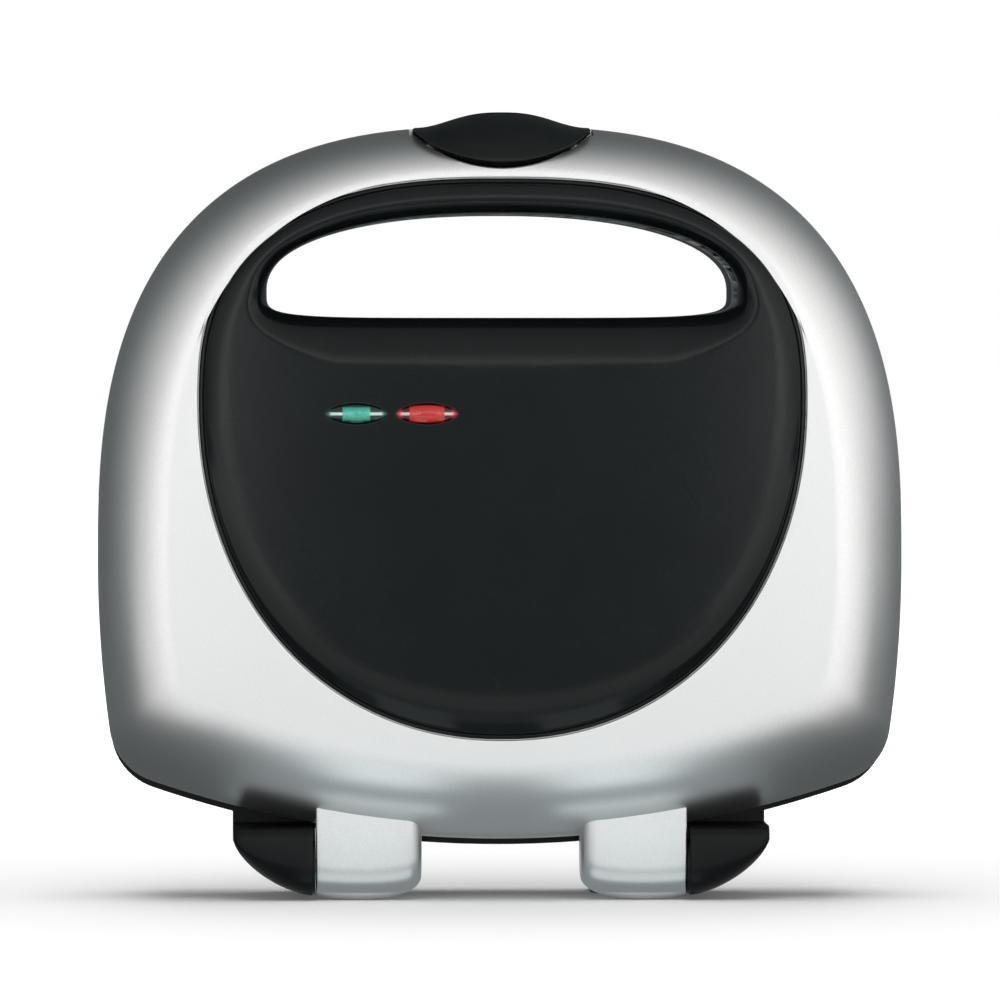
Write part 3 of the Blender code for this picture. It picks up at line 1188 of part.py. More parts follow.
def build():
    lid = [
        lid_shell(), lid_panel(), lid_bezel(), cooking_plate("upper_plate", LID),
        reflector("upper_reflector", LID), element("upper_element", LID),
        lens("ready_lens", READY_X, GREEN), lens("power_lens", POWER_X, RED),
        lamp("ready_lamp", READY_X), lamp("power_lamp", POWER_X), lamp_holder(),
        rod("latch_pin", LATCH_PIN_RADIUS, -LATCH_PIN_HALF_LENGTH, LATCH_PIN_HALF_LENGTH, "x",
            (LATCH_PIN_Y, LATCH_PIN_Z), STEEL),
    ]
    for i, (x, z) in enumerate(case_screw_places()):
        lid.append(screw(f"lid_screw_{i + 1}", x, LID_SCREW_Y + FIT, z, BASE))
    for i, z in enumerate(plate_screw_heights()):
        lid.append(screw(f"upper_plate_screw_{i + 1}", 0.0, -REFLECTOR_DEPTH - FIT, z, LID,
                         PLATE_SCREW_LENGTH))
    moving = [latch()]
    base_shell()
    base_bezel()
    cooking_plate("lower_plate", BASE)
    reflector("lower_reflector", BASE)
    element("lower_element", BASE)
    cord_gland()
    cord_clamp()
    terminal_block()
    thermostat()
    thermal_fuse()
    for i, (x, z) in enumerate(case_screw_places()):
        screw(f"base_screw_{i + 1}", x, BASE_SCREW_Y + FIT, z, BASE)
    for i, z in enumerate(plate_screw_heights()):
        screw(f"lower_plate_screw_{i + 1}", 0.0, REFLECTOR_DEPTH + FIT, z, BASE, PLATE_SCREW_LENGTH)
    for i, (x, z) in enumerate(foot_places()):
        foot(f"foot_{i + 1}", x, z)
    for side, hand in zip(SIDES, ("left", "right")):
        screw(f"clamp_screw_{hand}", side * CLAMP_POST_X, CLAMP_POST_END_Y - FIT - CLAMP_THICKNESS - FIT,
              CLAMP_Z, LID, CLAMP_SCREW_LENGTH)
        rod(f"hinge_pin_{hand}", HINGE_PIN_RADIUS, side * HINGE_PIN_INNER_X, side * HINGE_PIN_OUTER_X,
            "x", (HINGE_Y, HINGE_Z), STEEL)
    hinge = joint_empty("lid_hinge", (0.0, HINGE_Y, HINGE_Z))
    pivot = joint_empty("latch_pivot", (0.0, LATCH_PIN_Y, LATCH_PIN_Z))
    hang(hinge, lid + [pivot])
    hang(pivot, moving)


def joint_empty(name, place_at):
    made = bpy.data.objects.new(name, None)
    made.location = place_at
    PARTS.objects.link(made)
    return made


def hang(parent, children):
    """Parent the children and keep them where they are."""
    for child in children:
        child.parent = parent
        child.matrix_parent_inverse = Matrix.Translation(parent.location).inverted()


clear_scene()
PARTS = new_collection("sandwich_maker")
CUTTERS = new_collection("cutters")
SILVER = material("silver_paint", (0.55, 0.56, 0.57), 0.35, 0.7)
BLACK_GLOSS = material("black_gloss_plastic", (0.017, 0.02, 0.021), 0.22)
BLACK_SATIN = material("black_satin_plastic", (0.012, 0.013, 0.014), 0.45)
NONSTICK = material("nonstick_coating", (0.025, 0.025, 0.026), 0.5)
STEEL_SHEET = material("steel_sheet", (0.55, 0.55, 0.54), 0.4, 1.0)
STEEL = material("steel", (0.5, 0.5, 0.5), 0.3, 1.0)
CERAMIC = material("ceramic", (0.75, 0.74, 0.7), 0.6)
RUBBER = material("rubber", (0.02, 0.02, 0.02), 0.8)
GLASS = material("lamp_glass", (0.8, 0.5, 0.3), 0.1)
GREEN = material("green_lens", (0.08, 0.55, 0.45), 0.15)
RED = material("red_lens", (0.6, 0.04, 0.03), 0.15)
build()
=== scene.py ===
# A sandwich maker stored upright on its hinge end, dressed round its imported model.
# x runs across it, y from the lid in front to the base behind, z up. Lengths are in metres.

import math

import bmesh
import bpy
import numpy as np
from mathutils import Matrix, Vector


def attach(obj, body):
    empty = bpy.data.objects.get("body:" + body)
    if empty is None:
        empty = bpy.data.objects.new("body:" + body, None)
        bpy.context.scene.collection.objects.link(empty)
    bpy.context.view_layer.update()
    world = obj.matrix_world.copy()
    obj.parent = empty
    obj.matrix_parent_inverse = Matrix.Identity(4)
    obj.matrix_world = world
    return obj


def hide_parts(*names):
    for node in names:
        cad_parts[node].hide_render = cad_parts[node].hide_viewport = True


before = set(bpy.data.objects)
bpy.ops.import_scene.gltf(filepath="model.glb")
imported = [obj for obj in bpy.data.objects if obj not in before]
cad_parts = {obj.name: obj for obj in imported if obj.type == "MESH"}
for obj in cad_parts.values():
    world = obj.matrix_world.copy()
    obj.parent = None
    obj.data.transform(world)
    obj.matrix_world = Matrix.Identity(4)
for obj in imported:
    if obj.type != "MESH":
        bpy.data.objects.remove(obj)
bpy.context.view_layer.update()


# Camera: far off, a little left of the middle and about as high as the finger opening
cameraPlace = {"at": (-0.090, -3.200, 0.189), "aim": (0.0, -0.0145, 0.1287), "widthSeen": 0.32338}


def makeCamera(place):
    eye, aim = Vector(place["at"]), Vector(place["aim"])
    data = bpy.data.cameras.new("studioCamera")
    data.sensor_width = 36.0
    data.lens = data.sensor_width * (aim - eye).length / place["widthSeen"]
    made = bpy.data.objects.new("studioCamera", data)
    made.location = eye
    made.rotation_euler = (aim - eye).to_track_quat("-Z", "Y").to_euler()
    bpy.context.scene.collection.objects.link(made)
    bpy.context.scene.camera = made
    return made


makeCamera(cameraPlace)


# Node helpers

def fromHex(text):
    # sRGB hex to the linear colour that the shaders want
    parts = [int(text[i:i + 2], 16) / 255 for i in (1, 3, 5)]
    linear = [c / 12.92 if c <= 0.04045 else ((c + 0.055) / 1.055) ** 2.4 for c in parts]
    return (*linear, 1.0)


def addNode(tree, kind, settings=None, links=None):
    # one node; a setting goes to its property, its ramp or its socket, a link joins an output to a socket
    made = tree.nodes.new(kind)
    for key, value in (settings or {}).items():
        if key == "ramp":
            stops = made.color_ramp.elements
            while len(stops) < len(value):
                stops.new(0.5)
            for stop, (position, colour) in zip(stops, value):
                stop.position, stop.color = position, colour
        elif isinstance(key, str) and hasattr(made, key):
            setattr(made, key, value)
        else:
            made.inputs[key].default_value = value
    for key, output in (links or {}).items():
        tree.links.new(output, made.inputs[key])
    return made


def newMaterial(name):
    made = bpy.data.materials.new(name)
    made.use_nodes = True
    tree = made.node_tree
    tree.nodes.clear()
    out = addNode(tree, "ShaderNodeOutputMaterial")
    place = addNode(tree, "ShaderNodeTexCoord")
    return made, tree, out, place.outputs["Object"]


def finishMaterial(tree, out, shader):
    tree.links.new(shader.outputs[0], out.inputs["Surface"])


# Outlines: closed loops of (x, z) that start at the bottom middle and run to the right

def quarterCurve(halfWidth, height, power, count):
    # from (halfWidth, 0) to (0, height)
    found = []
    for i in range(count + 1):
        angle = math.pi / 2 * i / count
        found.append((halfWidth * max(0.0, math.cos(angle)) ** (2 / power),
                      height * math.sin(angle) ** (2 / power)))
    return found


def evenLoop(rightHalf, count):
    # the right half resampled at even steps and mirrored, count points in all
    lengths = [0.0]
    for a, b in zip(rightHalf, rightHalf[1:]):
        lengths.append(lengths[-1] + math.dist(a, b))
    half, k, right = count // 2, 0, []
    for i in range(half + 1):
        target = lengths[-1] * i / half
        while k < len(lengths) - 2 and lengths[k + 1] < target:
            k += 1
        span = lengths[k + 1] - lengths[k]
        share = (target - lengths[k]) / span if span else 0.0
        (ax, az), (bx, bz) = rightHalf[k], rightHalf[k + 1]
        right.append((ax + (bx - ax) * share, az + (bz - az) * share))
    return right + [(-x, z) for x, z in reversed(right[1:-1])]


def arcPoints(centre, radius, start, end, count):
    return [(centre[0] + radius * math.cos(start + (end - start) * i / count),
             centre[1] + radius * math.sin(start + (end - start) * i / count)) for i in range(count + 1)]


def eggLoop(shape, grow, count):
    # an egg: one superellipse above its widest height and another below
    wide, steps = shape["halfWidth"] + grow, 300
    low = quarterCurve(wide, shape["wideZ"] - shape["lowZ"] + grow, shape["lowPower"], steps)
    top = quarterCurve(wide, shape["topZ"] + grow - shape["wideZ"], shape["topPower"], steps)
    right = [(x, shape["wideZ"] - z) for x, z in reversed(low)]
    right += [(x, shape["wideZ"] + z) for x, z in top[1:]]
    return evenLoop(right, count)


def mixLoops(a, b, share):
    return [(p[0] + (q[0] - p[0]) * share, p[1] + (q[1] - p[1]) * share) for p, q in zip(a, b)]


def atDepth(loop, y):
    return [(x, y, z) for x, z in loop]


def boxLoop(width, height, radius, x=0.0, z=0.0, count=6):
    # a box with rounded corners
    halfW, halfH = width / 2 - radius, height / 2 - radius
    found = []
    for turn, (sx, sz) in enumerate(((1, 1), (-1, 1), (-1, -1), (1, -1))):
        start = turn * math.pi / 2
        found += arcPoints((x + sx * halfW, z + sz * halfH), radius, start, start + math.pi / 2, count)
    return found


# Mesh helpers
mergeDistance = 1e-6  # corners closer than this are one
softAngle = 35.0  # degrees; edges that turn more than this stay crisp
overrun = 0.002  # how far a cutter runs past what it cuts
hubRadius = 0.0002  # a turned shape closes on a ring this small


def shadeSmooth(shape, smoothAngle):
    for face in shape.faces:
        face.smooth = True
    for edge in shape.edges:
        sharp = len(edge.link_faces) == 2 and edge.calc_face_angle(0.0) > math.radians(smoothAngle)
        edge.smooth = not sharp


def meshObject(name, shape, smoothAngle=softAngle, closed=True):
    # a bmesh as an object: doubles merged, faces turned outwards, shaded smooth up to an angle
    bmesh.ops.remove_doubles(shape, verts=shape.verts, dist=mergeDistance)
    if closed:
        bmesh.ops.recalc_face_normals(shape, faces=shape.faces)
    shadeSmooth(shape, smoothAngle)
    mesh = bpy.data.meshes.new(name)
    shape.to_mesh(mesh)
    shape.free()
    made = bpy.data.objects.new(name, mesh)
    bpy.context.scene.collection.objects.link(made)
    return made


def ringShape(rings, joined=False):
    # quads between rings of as many points; either joined end to start or capped at both ends
    shape = bmesh.new()
    rows = [[shape.verts.new(point) for point in ring] for ring in rings]
    count = len(rings[0])
    pairs = list(zip(rows, rows[1:])) + ([(rows[-1], rows[0])] if joined else [])
    for low, high in pairs:
        for i in range(count):
            k = (i + 1) % count
            shape.faces.new((low[i], low[k], high[k], high[i]))
    if not joined:
        shape.faces.new(rows[0])
        shape.faces.new(rows[-1])
    return shape


def ringSolid(name, rings, joined=False, smoothAngle=softAngle):
    return meshObject(name, ringShape(rings, joined), smoothAngle)


def turnedShape(profile, count, joined=False, place=lambda u, v, h: (u, v, h)):
    # a profile of (radius, height) turned about an axis; place puts one of its points in space
    angles = [2 * math.pi * k / count for k in range(count)]
    rings = [[place(r * math.cos(a), r * math.sin(a), h) for a in angles] for r, h in profile]
    return ringShape(rings, joined)


def boxSolid(name, x, y, z):
    shape = bmesh.new()
    bmesh.ops.create_cube(shape, size=1.0)
    for vert in shape.verts:
        vert.co = [limits[0] if c < 0 else limits[1] for c, limits in zip(vert.co, (x, y, z))]
    return meshObject(name, shape)


def rodSolid(name, radius, start, end, axis, centre, count=48):
    # a cylinder along an axis; centre is its place on the other two
    order = "xyz".index(axis)
    rings = []
    for along in (start, end):
        ring = []
        for u, v in arcPoints(centre, radius, 0.0, 2 * math.pi, count)[:-1]:
            point = [u, v]
            point.insert(order, along)
            ring.append(tuple(point))
        rings.append(ring)
    return ringSolid(name, rings)


def combine(target, operation, *tools):
    # an exact boolean with each tool in turn, applied to the mesh
    for tool in tools:
        step = target.modifiers.new("combine", "BOOLEAN")
        step.operation = operation
        step.object = tool
        step.solver = "EXACT"
        graph = bpy.context.evaluated_depsgraph_get()
        mesh = bpy.data.meshes.new_from_object(target.evaluated_get(graph))
        old = target.data
        target.modifiers.clear()
        target.data = mesh
        bpy.data.meshes.remove(old)
        bpy.data.objects.remove(tool, do_unlink=True)
    return target


def reshade(target, smoothAngle=softAngle):
    # sharp edges again after a boolean
    shape = bmesh.new()
    shape.from_mesh(target.data)
    bmesh.ops.remove_doubles(shape, verts=shape.verts, dist=mergeDistance)
    bmesh.ops.dissolve_degenerate(shape, edges=shape.edges, dist=mergeDistance)
    shadeSmooth(shape, smoothAngle)
    shape.to_mesh(target.data)
    shape.free()
    return target


def settle(piece, bodyName, slotName, paint, *nodes):
    # gives a finished piece its body, its finish and the nodes that it stands for
    piece.data.materials.clear()
    piece.data.materials.append(paint)
    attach(piece, bodyName)
    if nodes:
        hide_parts(*nodes)
    return piece


# Body: the outline that both halves share
body = {
    "halfWidth": 0.130, "wideZ": 0.1095, "topZ": 0.2495, "sideRadius": 0.400, "lowRadius": 0.346,
    "cornerRadius": 0.020, "cornerShare": 0.8, "topPower": 2.7, "points": 384,
    "arcSteps": (120, 60, 80, 400), "wall": 0.0025, "rimRound": 0.0003, "gap": 0.0005, "fit": 0.0003,
    "bezelBackY": 0.0037, "linerInset": 0.0005,
}
# roll: how far the rolled edge draws in at the sides, the top and the bottom
lid = {"lowZ": 0.0192, "depth": 0.0445, "roll": (0.023, 0.016, 0.025), "rollDepth": 0.030,
       "cornerRoll": 0.006}
base = {"lowZ": 0.0165, "depth": 0.041, "roll": (0.014, 0.014, 0.014), "rollDepth": 0.016,
        "cornerRoll": 0.0}
lidWay, baseWay = -1, 1  # the lid's pieces reach towards -y, the base's towards +y
panel = {
    "halfWidth": 0.0973, "wideZ": 0.16101, "topZ": 0.2323, "lowZ": 0.0525, "topPower": 2.6,
    "lowPower": 2.12, "proud": 0.0035, "ledge": 0.005, "ledgeDepth": 0.0022, "innerFall": 0.0022,
    "recessEdge": 0.0004,
}
grip = {
    "halfWidth": 0.0755, "wideZ": 0.1962, "middleZ": 0.2030, "topZ": 0.2209, "lowZ": 0.1876,
    "topPower": 2.25, "lowPower": 5.2, "flareSide": 0.0105, "flareTop": 0.0045, "flareLow": 0.016,
    "flareDepth": 0.011, "sleeveFlare": 0.9, "edge": 0.0004,
}


def bodyLoop(lowZ):
    lowCentre = (0.0, lowZ + body["lowRadius"])
    sideCentre = (body["halfWidth"] - body["sideRadius"], body["wideZ"])
    dx, dz = sideCentre[0] - lowCentre[0], sideCentre[1] - lowCentre[1]
    apart = math.hypot(dx, dz)
    reachLow = body["lowRadius"] - body["cornerRadius"]
    reachSide = body["sideRadius"] - body["cornerRadius"]
    along = (reachLow ** 2 - reachSide ** 2 + apart ** 2) / (2 * apart)
    across = math.sqrt(reachLow ** 2 - along ** 2)
    ux, uz = dx / apart, dz / apart
    corners = [(lowCentre[0] + along * ux - way * across * uz, lowCentre[1] + along * uz + way * across * ux)
               for way in (-1, 1)]
    corner = max(corners, key=lambda point: point[0] - point[1])
    lowEnd = math.atan2(corner[1] - lowCentre[1], corner[0] - lowCentre[0])
    sideStart = math.atan2(corner[1] - sideCentre[1], corner[0] - sideCentre[0])
    lowSteps, cornerSteps, sideSteps, topSteps = body["arcSteps"]
    right = arcPoints(lowCentre, body["lowRadius"], -math.pi / 2, lowEnd, lowSteps)[:-1]
    right += arcPoints(corner, body["cornerRadius"], lowEnd, sideStart, cornerSteps)[:-1]
    right += arcPoints(sideCentre, body["sideRadius"], sideStart, 0.0, sideSteps)[:-1]
    top = quarterCurve(body["halfWidth"], body["topZ"] - body["wideZ"], body["topPower"], topSteps)
    right += [(x, body["wideZ"] + z) for x, z in top]
    return evenLoop(right, body["points"])


def insetBody(loop, lowZ, side, top, low, corner=0.0):
    # drawn in by its own amount at the sides, the top, the bottom and, where asked, the low corners
    across = 1 - side / body["halfWidth"]
    above = 1 - top / (body["topZ"] - body["wideZ"])
    wide, found = body["wideZ"], []
    for x, z in loop:
        fromMiddle = min(1.0, (x / (body["cornerShare"] * body["halfWidth"])) ** 2)
        below = 1 - (low + corner * fromMiddle) / (wide - lowZ)
        found.append((x * across, wide + (z - wide) * (above if z > wide else below)))
    return found


def dishRings(half, way, inset, steps=18):
    # one half of the body from its rim over the rolled edge to its flat face
    loop = bodyLoop(half["lowZ"])
    side, top, low = half["roll"]
    depth, rollDepth = half["depth"] - inset, half["rollDepth"]
    rimRound = body["rimRound"] if inset == 0.0 else 0.0
    start = insetBody(loop, half["lowZ"], inset + rimRound, inset + rimRound, inset + rimRound)
    whole = insetBody(loop, half["lowZ"], inset, inset, inset)
    rings = [atDepth(start, way * body["gap"])]
    if rimRound:
        rings.append(atDepth(whole, way * (body["gap"] + rimRound)))
    for i in range(steps + 1):
        turn = math.pi / 2 * i / steps
        drawn = 1 - math.cos(turn)
        ring = insetBody(loop, half["lowZ"], inset + side * drawn, inset + top * drawn, inset + low * drawn,
                         half["cornerRoll"] * drawn)
        rings.append(atDepth(ring, way * (depth - rollDepth * (1 - math.sin(turn)))))
    return rings


def flatten(ring):
    return [(x, z) for x, y, z in ring]


def gripLoop(grow=0.0, flare=0.0):
    shape = dict(grip)
    shape["halfWidth"] += flare * grip["flareSide"]
    shape["topZ"] += flare * grip["flareTop"]
    shape["lowZ"] -= flare * grip["flareLow"]
    return eggLoop(shape, grow, body["points"])


def panelLoop(grow=0.0):
    return eggLoop(panel, grow, body["points"])


# Latch outlines, which its pocket in the lid follows
latch = {
    "halfWidth": 0.0285, "tipZ": 0.2479, "lowZ": 0.2364, "bulge": 0.0058, "bulgePower": 1.3, "gap": 0.0011,
    "tip": 0.0008, "faceLowZ": 0.2375, "chamfer": 0.0024, "edge": 0.0003, "spineShare": 0.97, "arcSteps": 44,
    "rearGrow": 0.0006, "rearY": -0.0376, "rearStep": 0.0004, "rearEdge": 0.0003, "fallBack": 0.022,
    "lipOver": 0.0005, "pocketWall": 0.0022, "pocketReach": 0.0022, "frontY": -0.0458, "bodyBackY": -0.030,
    "leafBackY": -0.012, "underZ": 0.2466, "tongueHalfWidth": 0.016, "tongueBackY": 0.0165,
    "slotBackY": 0.019, "toothY": 0.0092, "toothThickness": 0.0034, "toothHalfWidth": 0.012,
    "toothSunk": 0.0008, "slotFloorZ": 0.2375, "lidSlotFloorZ": 0.240, "leafSlotFloorZ": 0.2443,
    "keeperFrontY": 0.0042, "keeperTopZ": 0.243, "keeperHalfWidth": 0.014, "keeperGap": 0.0006,
}


def latchArc(grow, count=40):
    rise = latch["tipZ"] - latch["lowZ"]
    radius = (latch["halfWidth"] ** 2 + rise ** 2) / (2 * rise)
    centreZ = latch["lowZ"] + radius
    sweep = math.asin(latch["halfWidth"] / radius)
    return [((radius + grow) * math.sin(a), centreZ - (radius + grow) * math.cos(a))
            for a in (-sweep + 2 * sweep * i / count for i in range(count + 1))]


def latchLipZ(x):
    # the S-curved top edge
    tip = latch["tip"]
    share = min(1.0, abs(x) / (latch["halfWidth"] - tip))
    swell = (1 + math.cos(math.pi * share ** latch["bulgePower"])) / 2
    return latch["tipZ"] + tip + (latch["bulge"] - tip) * swell


def latchLeafLoop(lowZ):
    # a lower arc that runs smoothly into small round tips, and the top edge between them
    tip, reach, fall = latch["tip"], latch["halfWidth"] - latch["tip"], latch["tipZ"] - lowZ
    radius = (reach ** 2 + fall ** 2 - tip ** 2) / (2 * (fall - tip))
    sweep, steps = math.atan2(reach, radius - fall), latch["arcSteps"]
    loop = arcPoints((0.0, lowZ + radius), radius, -math.pi / 2 - sweep, -math.pi / 2 + sweep, steps)
    loop += arcPoints((reach, latch["tipZ"]), tip, sweep - math.pi / 2, math.pi / 2, 6)[1:-1]
    loop += [(x, latchLipZ(x)) for x in (reach * (1 - 2 * i / steps) for i in range(steps + 1))]
    return loop + arcPoints((-reach, latch["tipZ"]), tip, math.pi / 2, 3 * math.pi / 2 - sweep, 6)[1:-1]


def latchPocketLoop(grow):
    low = latchArc(grow)
    reach = low[-1][0] + latch["pocketReach"]
    highZ = body["topZ"] + latch["bulge"] + overrun
    return low + [(reach, highZ), (-reach, highZ)]


def prism(name, loop, yFrom, yTo):
    return ringSolid(name, [atDepth(loop, yFrom), atDepth(loop, yTo)])


def latchSlot(halfWidth, floorZ, wall, yFrom, yTo):
    half = halfWidth + latch["gap"] + wall
    return boxSolid("latchSlot", (-half, half), (yFrom, yTo), (floorZ - wall, body["topZ"] + latch["bulge"]))


# Hinge knuckles of the lid, lofted across from their inner side to their outer side
hinge = {"y": -0.025, "z": 0.011}
knuckle = {
    "innerX": 0.0256, "outerX": 0.0597, "crownX": 0.0455, "crown": 0.0015, "cornerHeight": 0.008,
    "power": 2.2, "edge": 0.005, "outerEdge": 0.0006, "topZ": 0.034, "radius": 0.011, "front": 0.0078,
    "steps": 16, "edgeSteps": 4, "profileSteps": 28,
}


def knuckleLowZ(x):
    if x < knuckle["crownX"]:
        share = (knuckle["crownX"] - x) / (knuckle["crownX"] - knuckle["innerX"])
        power = knuckle["power"]
        return knuckle["cornerHeight"] * (1 - max(0.0, 1 - min(1.0, share) ** power) ** (1 / power))
    share = (x - knuckle["crownX"]) / (knuckle["outerX"] - knuckle["crownX"])
    return knuckle["crown"] * share ** knuckle["power"]


def edgeInset(distance, radius):
    # how far a rounded edge falls back at a distance from the end
    if distance >= radius:
        return 0.0
    return radius - math.sqrt(max(0.0, radius ** 2 - (radius - distance) ** 2))


def knuckleSolid(side):
    front, back = hinge["y"] - knuckle["front"], hinge["y"] + knuckle["radius"]
    profile = [(front, knuckle["topZ"])]
    for y, z in arcPoints((0.0, hinge["z"]), 1.0, math.pi, 2 * math.pi, knuckle["profileSteps"]):
        reach = knuckle["front"] if y < 0 else knuckle["radius"]
        profile.append((hinge["y"] + y * reach, hinge["z"] + (z - hinge["z"]) * knuckle["radius"]))
    profile.append((back, knuckle["topZ"]))
    inner, outer, steps = knuckle["innerX"], knuckle["outerX"], knuckle["steps"]
    stations = [inner + knuckle["edge"] * (1 - math.cos(math.pi / 2 * i / steps)) for i in range(steps)]
    start, stop = inner + knuckle["edge"], outer - knuckle["outerEdge"]
    stations += [start + (stop - start) * i / steps for i in range(steps)]
    stations += [outer - knuckle["outerEdge"] * (1 - math.sin(math.pi / 2 * i / knuckle["edgeSteps"]))
                 for i in range(knuckle["edgeSteps"] + 1)]
    rings = []
    for x in stations:
        trim = edgeInset(outer - x, knuckle["outerEdge"])
        frontHere = front + edgeInset(x - inner, knuckle["edge"]) + trim
        lowHere = knuckleLowZ(x) + trim
        across = (back - frontHere) / (back - front)
        down = (knuckle["topZ"] - lowHere) / knuckle["topZ"]
        rings.append([(side * x, back + (y - back) * across, knuckle["topZ"] - (knuckle["topZ"] - z) * down)
                      for y, z in profile])
    return ringSolid("knuckle", rings)


def lidShell():
    depth, wall, fit, edge = lid["depth"], body["wall"], body["fit"], panel["recessEdge"]
    rings = dishRings(lid, lidWay, 0.0)
    flat, recess = flatten(rings[-1]), panelLoop(fit + edge)
    rings += [atDepth(mixLoops(flat, recess, share), -depth) for share in (0.02, 0.35, 0.7, 0.98)]
    for i in range(6):
        turn = math.pi / 2 * i / 5
        rim = panelLoop(fit + edge * (1 - math.sin(turn)))
        rings.append(atDepth(rim, -depth + edge * (1 - math.cos(turn))))
    floor, ledge = -(depth - panel["ledgeDepth"]), panelLoop(-panel["ledge"])
    rings += [atDepth(panelLoop(fit), floor), atDepth(ledge, floor), atDepth(ledge, -(depth - wall))]
    rings += reversed(dishRings(lid, lidWay, wall, 12))
    made = ringSolid("lidShell", rings, joined=True)
    whole = ringSolid("wholeLid", dishRings(lid, lidWay, body["linerInset"]))
    backY = latch["bodyBackY"] + latch["gap"]
    pocketWall = latch["gap"] + latch["pocketWall"]
    liner = prism("liner", latchPocketLoop(pocketWall), -depth - overrun, backY + latch["pocketWall"])
    combine(liner, "UNION",
            latchSlot(latch["tongueHalfWidth"], latch["lidSlotFloorZ"], latch["pocketWall"],
                      latch["bodyBackY"], -body["bezelBackY"]),
            latchSlot(latch["halfWidth"], latch["leafSlotFloorZ"], latch["pocketWall"],
                      latch["bodyBackY"], latch["leafBackY"] + pocketWall))
    combine(whole, "INTERSECT", liner)
    combine(made, "UNION", whole, knuckleSolid(-1), knuckleSolid(1))
    combine(made, "DIFFERENCE",
            prism("pocket", latchPocketLoop(latch["gap"]), -depth - overrun, backY),
            latchSlot(latch["tongueHalfWidth"], latch["lidSlotFloorZ"], 0.0, latch["bodyBackY"], overrun),
            latchSlot(latch["halfWidth"], latch["leafSlotFloorZ"], 0.0, latch["bodyBackY"],
                      latch["leafBackY"] + latch["gap"]))
    return reshade(made, smoothAngle=24.0)


# Panel: a glossy domed face with a flared finger opening, whose height comes from the distances
# to its edge and to the opening
panelFace = {
    "sag": 0.0008, "sagBelow": 0.02, "sagReach": 0.085, "lip": 0.0012, "groove": 0.0003,
    "grooveDepth": 0.0002, "lipRound": 0.0008, "lipDepth": 0.0011, "rise": 0.0030, "rollSide": 0.0070,
    "rollTop": 0.0050, "rollLow": 0.0140, "rollTurn": 64, "roomShare": 0.48, "ringsRoll": 14,
    "ringsFace": 22, "ringsFlare": 16, "finePoints": 2400, "fineGripPoints": 2000,
}


def loopNormals(loop):
    # outward normals of a loop that runs anticlockwise
    count, found = len(loop), []
    for i in range(count):
        (ax, az), (bx, bz) = loop[i - 1], loop[(i + 1) % count]
        length = math.dist((ax, az), (bx, bz))
        found.append(((bz - az) / length, -(bx - ax) / length))
    return found


def offsetLoop(loop, distances):
    return [(x + nx * d, z + nz * d) for (x, z), (nx, nz), d in zip(loop, loopNormals(loop), distances)]


def byNormal(normal, sideValue, topValue, lowValue):
    nx, nz = normal
    return nx * nx * sideValue + nz * nz * (topValue if nz > 0 else lowValue)


def quarterDrop(distance, width, height):
    share = min(1.0, max(0.0, 1 - distance / width))
    return height * (1 - math.sqrt(1 - share * share))


def apartFrom(points, line):
    # distance from each point to the nearest of a line's points, and that point's number
    spots, ends = np.array(points), np.array(line)
    nearest, apart = np.empty(len(spots), dtype=int), np.empty(len(spots))
    for start in range(0, len(spots), 2000):
        part = spots[start:start + 2000]
        gaps = np.hypot(part[:, None, 0] - ends[None, :, 0], part[:, None, 1] - ends[None, :, 1])
        nearest[start:start + 2000] = gaps.argmin(axis=1)
        apart[start:start + 2000] = gaps.min(axis=1)
    return apart, nearest


def curveWidths(line, other, side, top, low):
    # how wide the curve beside a line is, less where the other line comes close
    room = (apartFrom(line, other)[0] - panelFace["lip"] - panelFace["groove"]) * panelFace["roomShare"]
    return [min(byNormal(normal, side, top, low), limit) for normal, limit in zip(loopNormals(line), room)]


def panelHeights(points, edgeLine, gripLine):
    # how far each point of the face lies behind the panel's foremost plane
    face, middleZ = panelFace, panel["wideZ"] - panelFace["sagBelow"]
    edgeGaps, edgeNear = apartFrom(points, edgeLine)
    gripGaps, gripNear = apartFrom(points, gripLine)
    rolls = curveWidths(edgeLine, gripLine, face["rollSide"], face["rollTop"], face["rollLow"])
    flares = curveWidths(gripLine, edgeLine, grip["flareSide"], grip["flareTop"], grip["flareLow"])
    lipEnd, drops = face["lip"] + face["groove"], []
    for i, (x, z) in enumerate(points):
        sag = face["sag"] * ((x / panel["halfWidth"]) ** 2 + ((z - middleZ) / face["sagReach"]) ** 2)
        gap, width = edgeGaps[i], rolls[edgeNear[i]]
        drop = quarterDrop(gap - lipEnd, width, face["rise"])
        if gap < face["lipRound"]:
            drop += quarterDrop(gap, face["lipRound"], face["lipDepth"])
        elif face["lip"] < gap < lipEnd:
            drop += face["grooveDepth"] * math.sin(math.pi * (gap - face["lip"]) / face["groove"])
        flare = flares[gripNear[i]]
        drop += quarterDrop(gripGaps[i], flare, grip["flareDepth"])
        drops.append(drop + min(sag, 2 * face["sag"]))
    return drops


def bearings(loop):
    # the direction of each point from the middle of the finger opening
    return np.unwrap([math.atan2(z - grip["middleZ"], x) for x, z in loop])


def atBearings(shape, grow, wanted):
    loop = eggLoop(shape, grow, panelFace["finePoints"])
    found = bearings(loop)
    closed = np.append(found, found[0] + 2 * math.pi)
    xs, zs = zip(*(loop + loop[:1]))
    return list(zip(np.interp(wanted, closed, xs).tolist(), np.interp(wanted, closed, zs).tolist()))


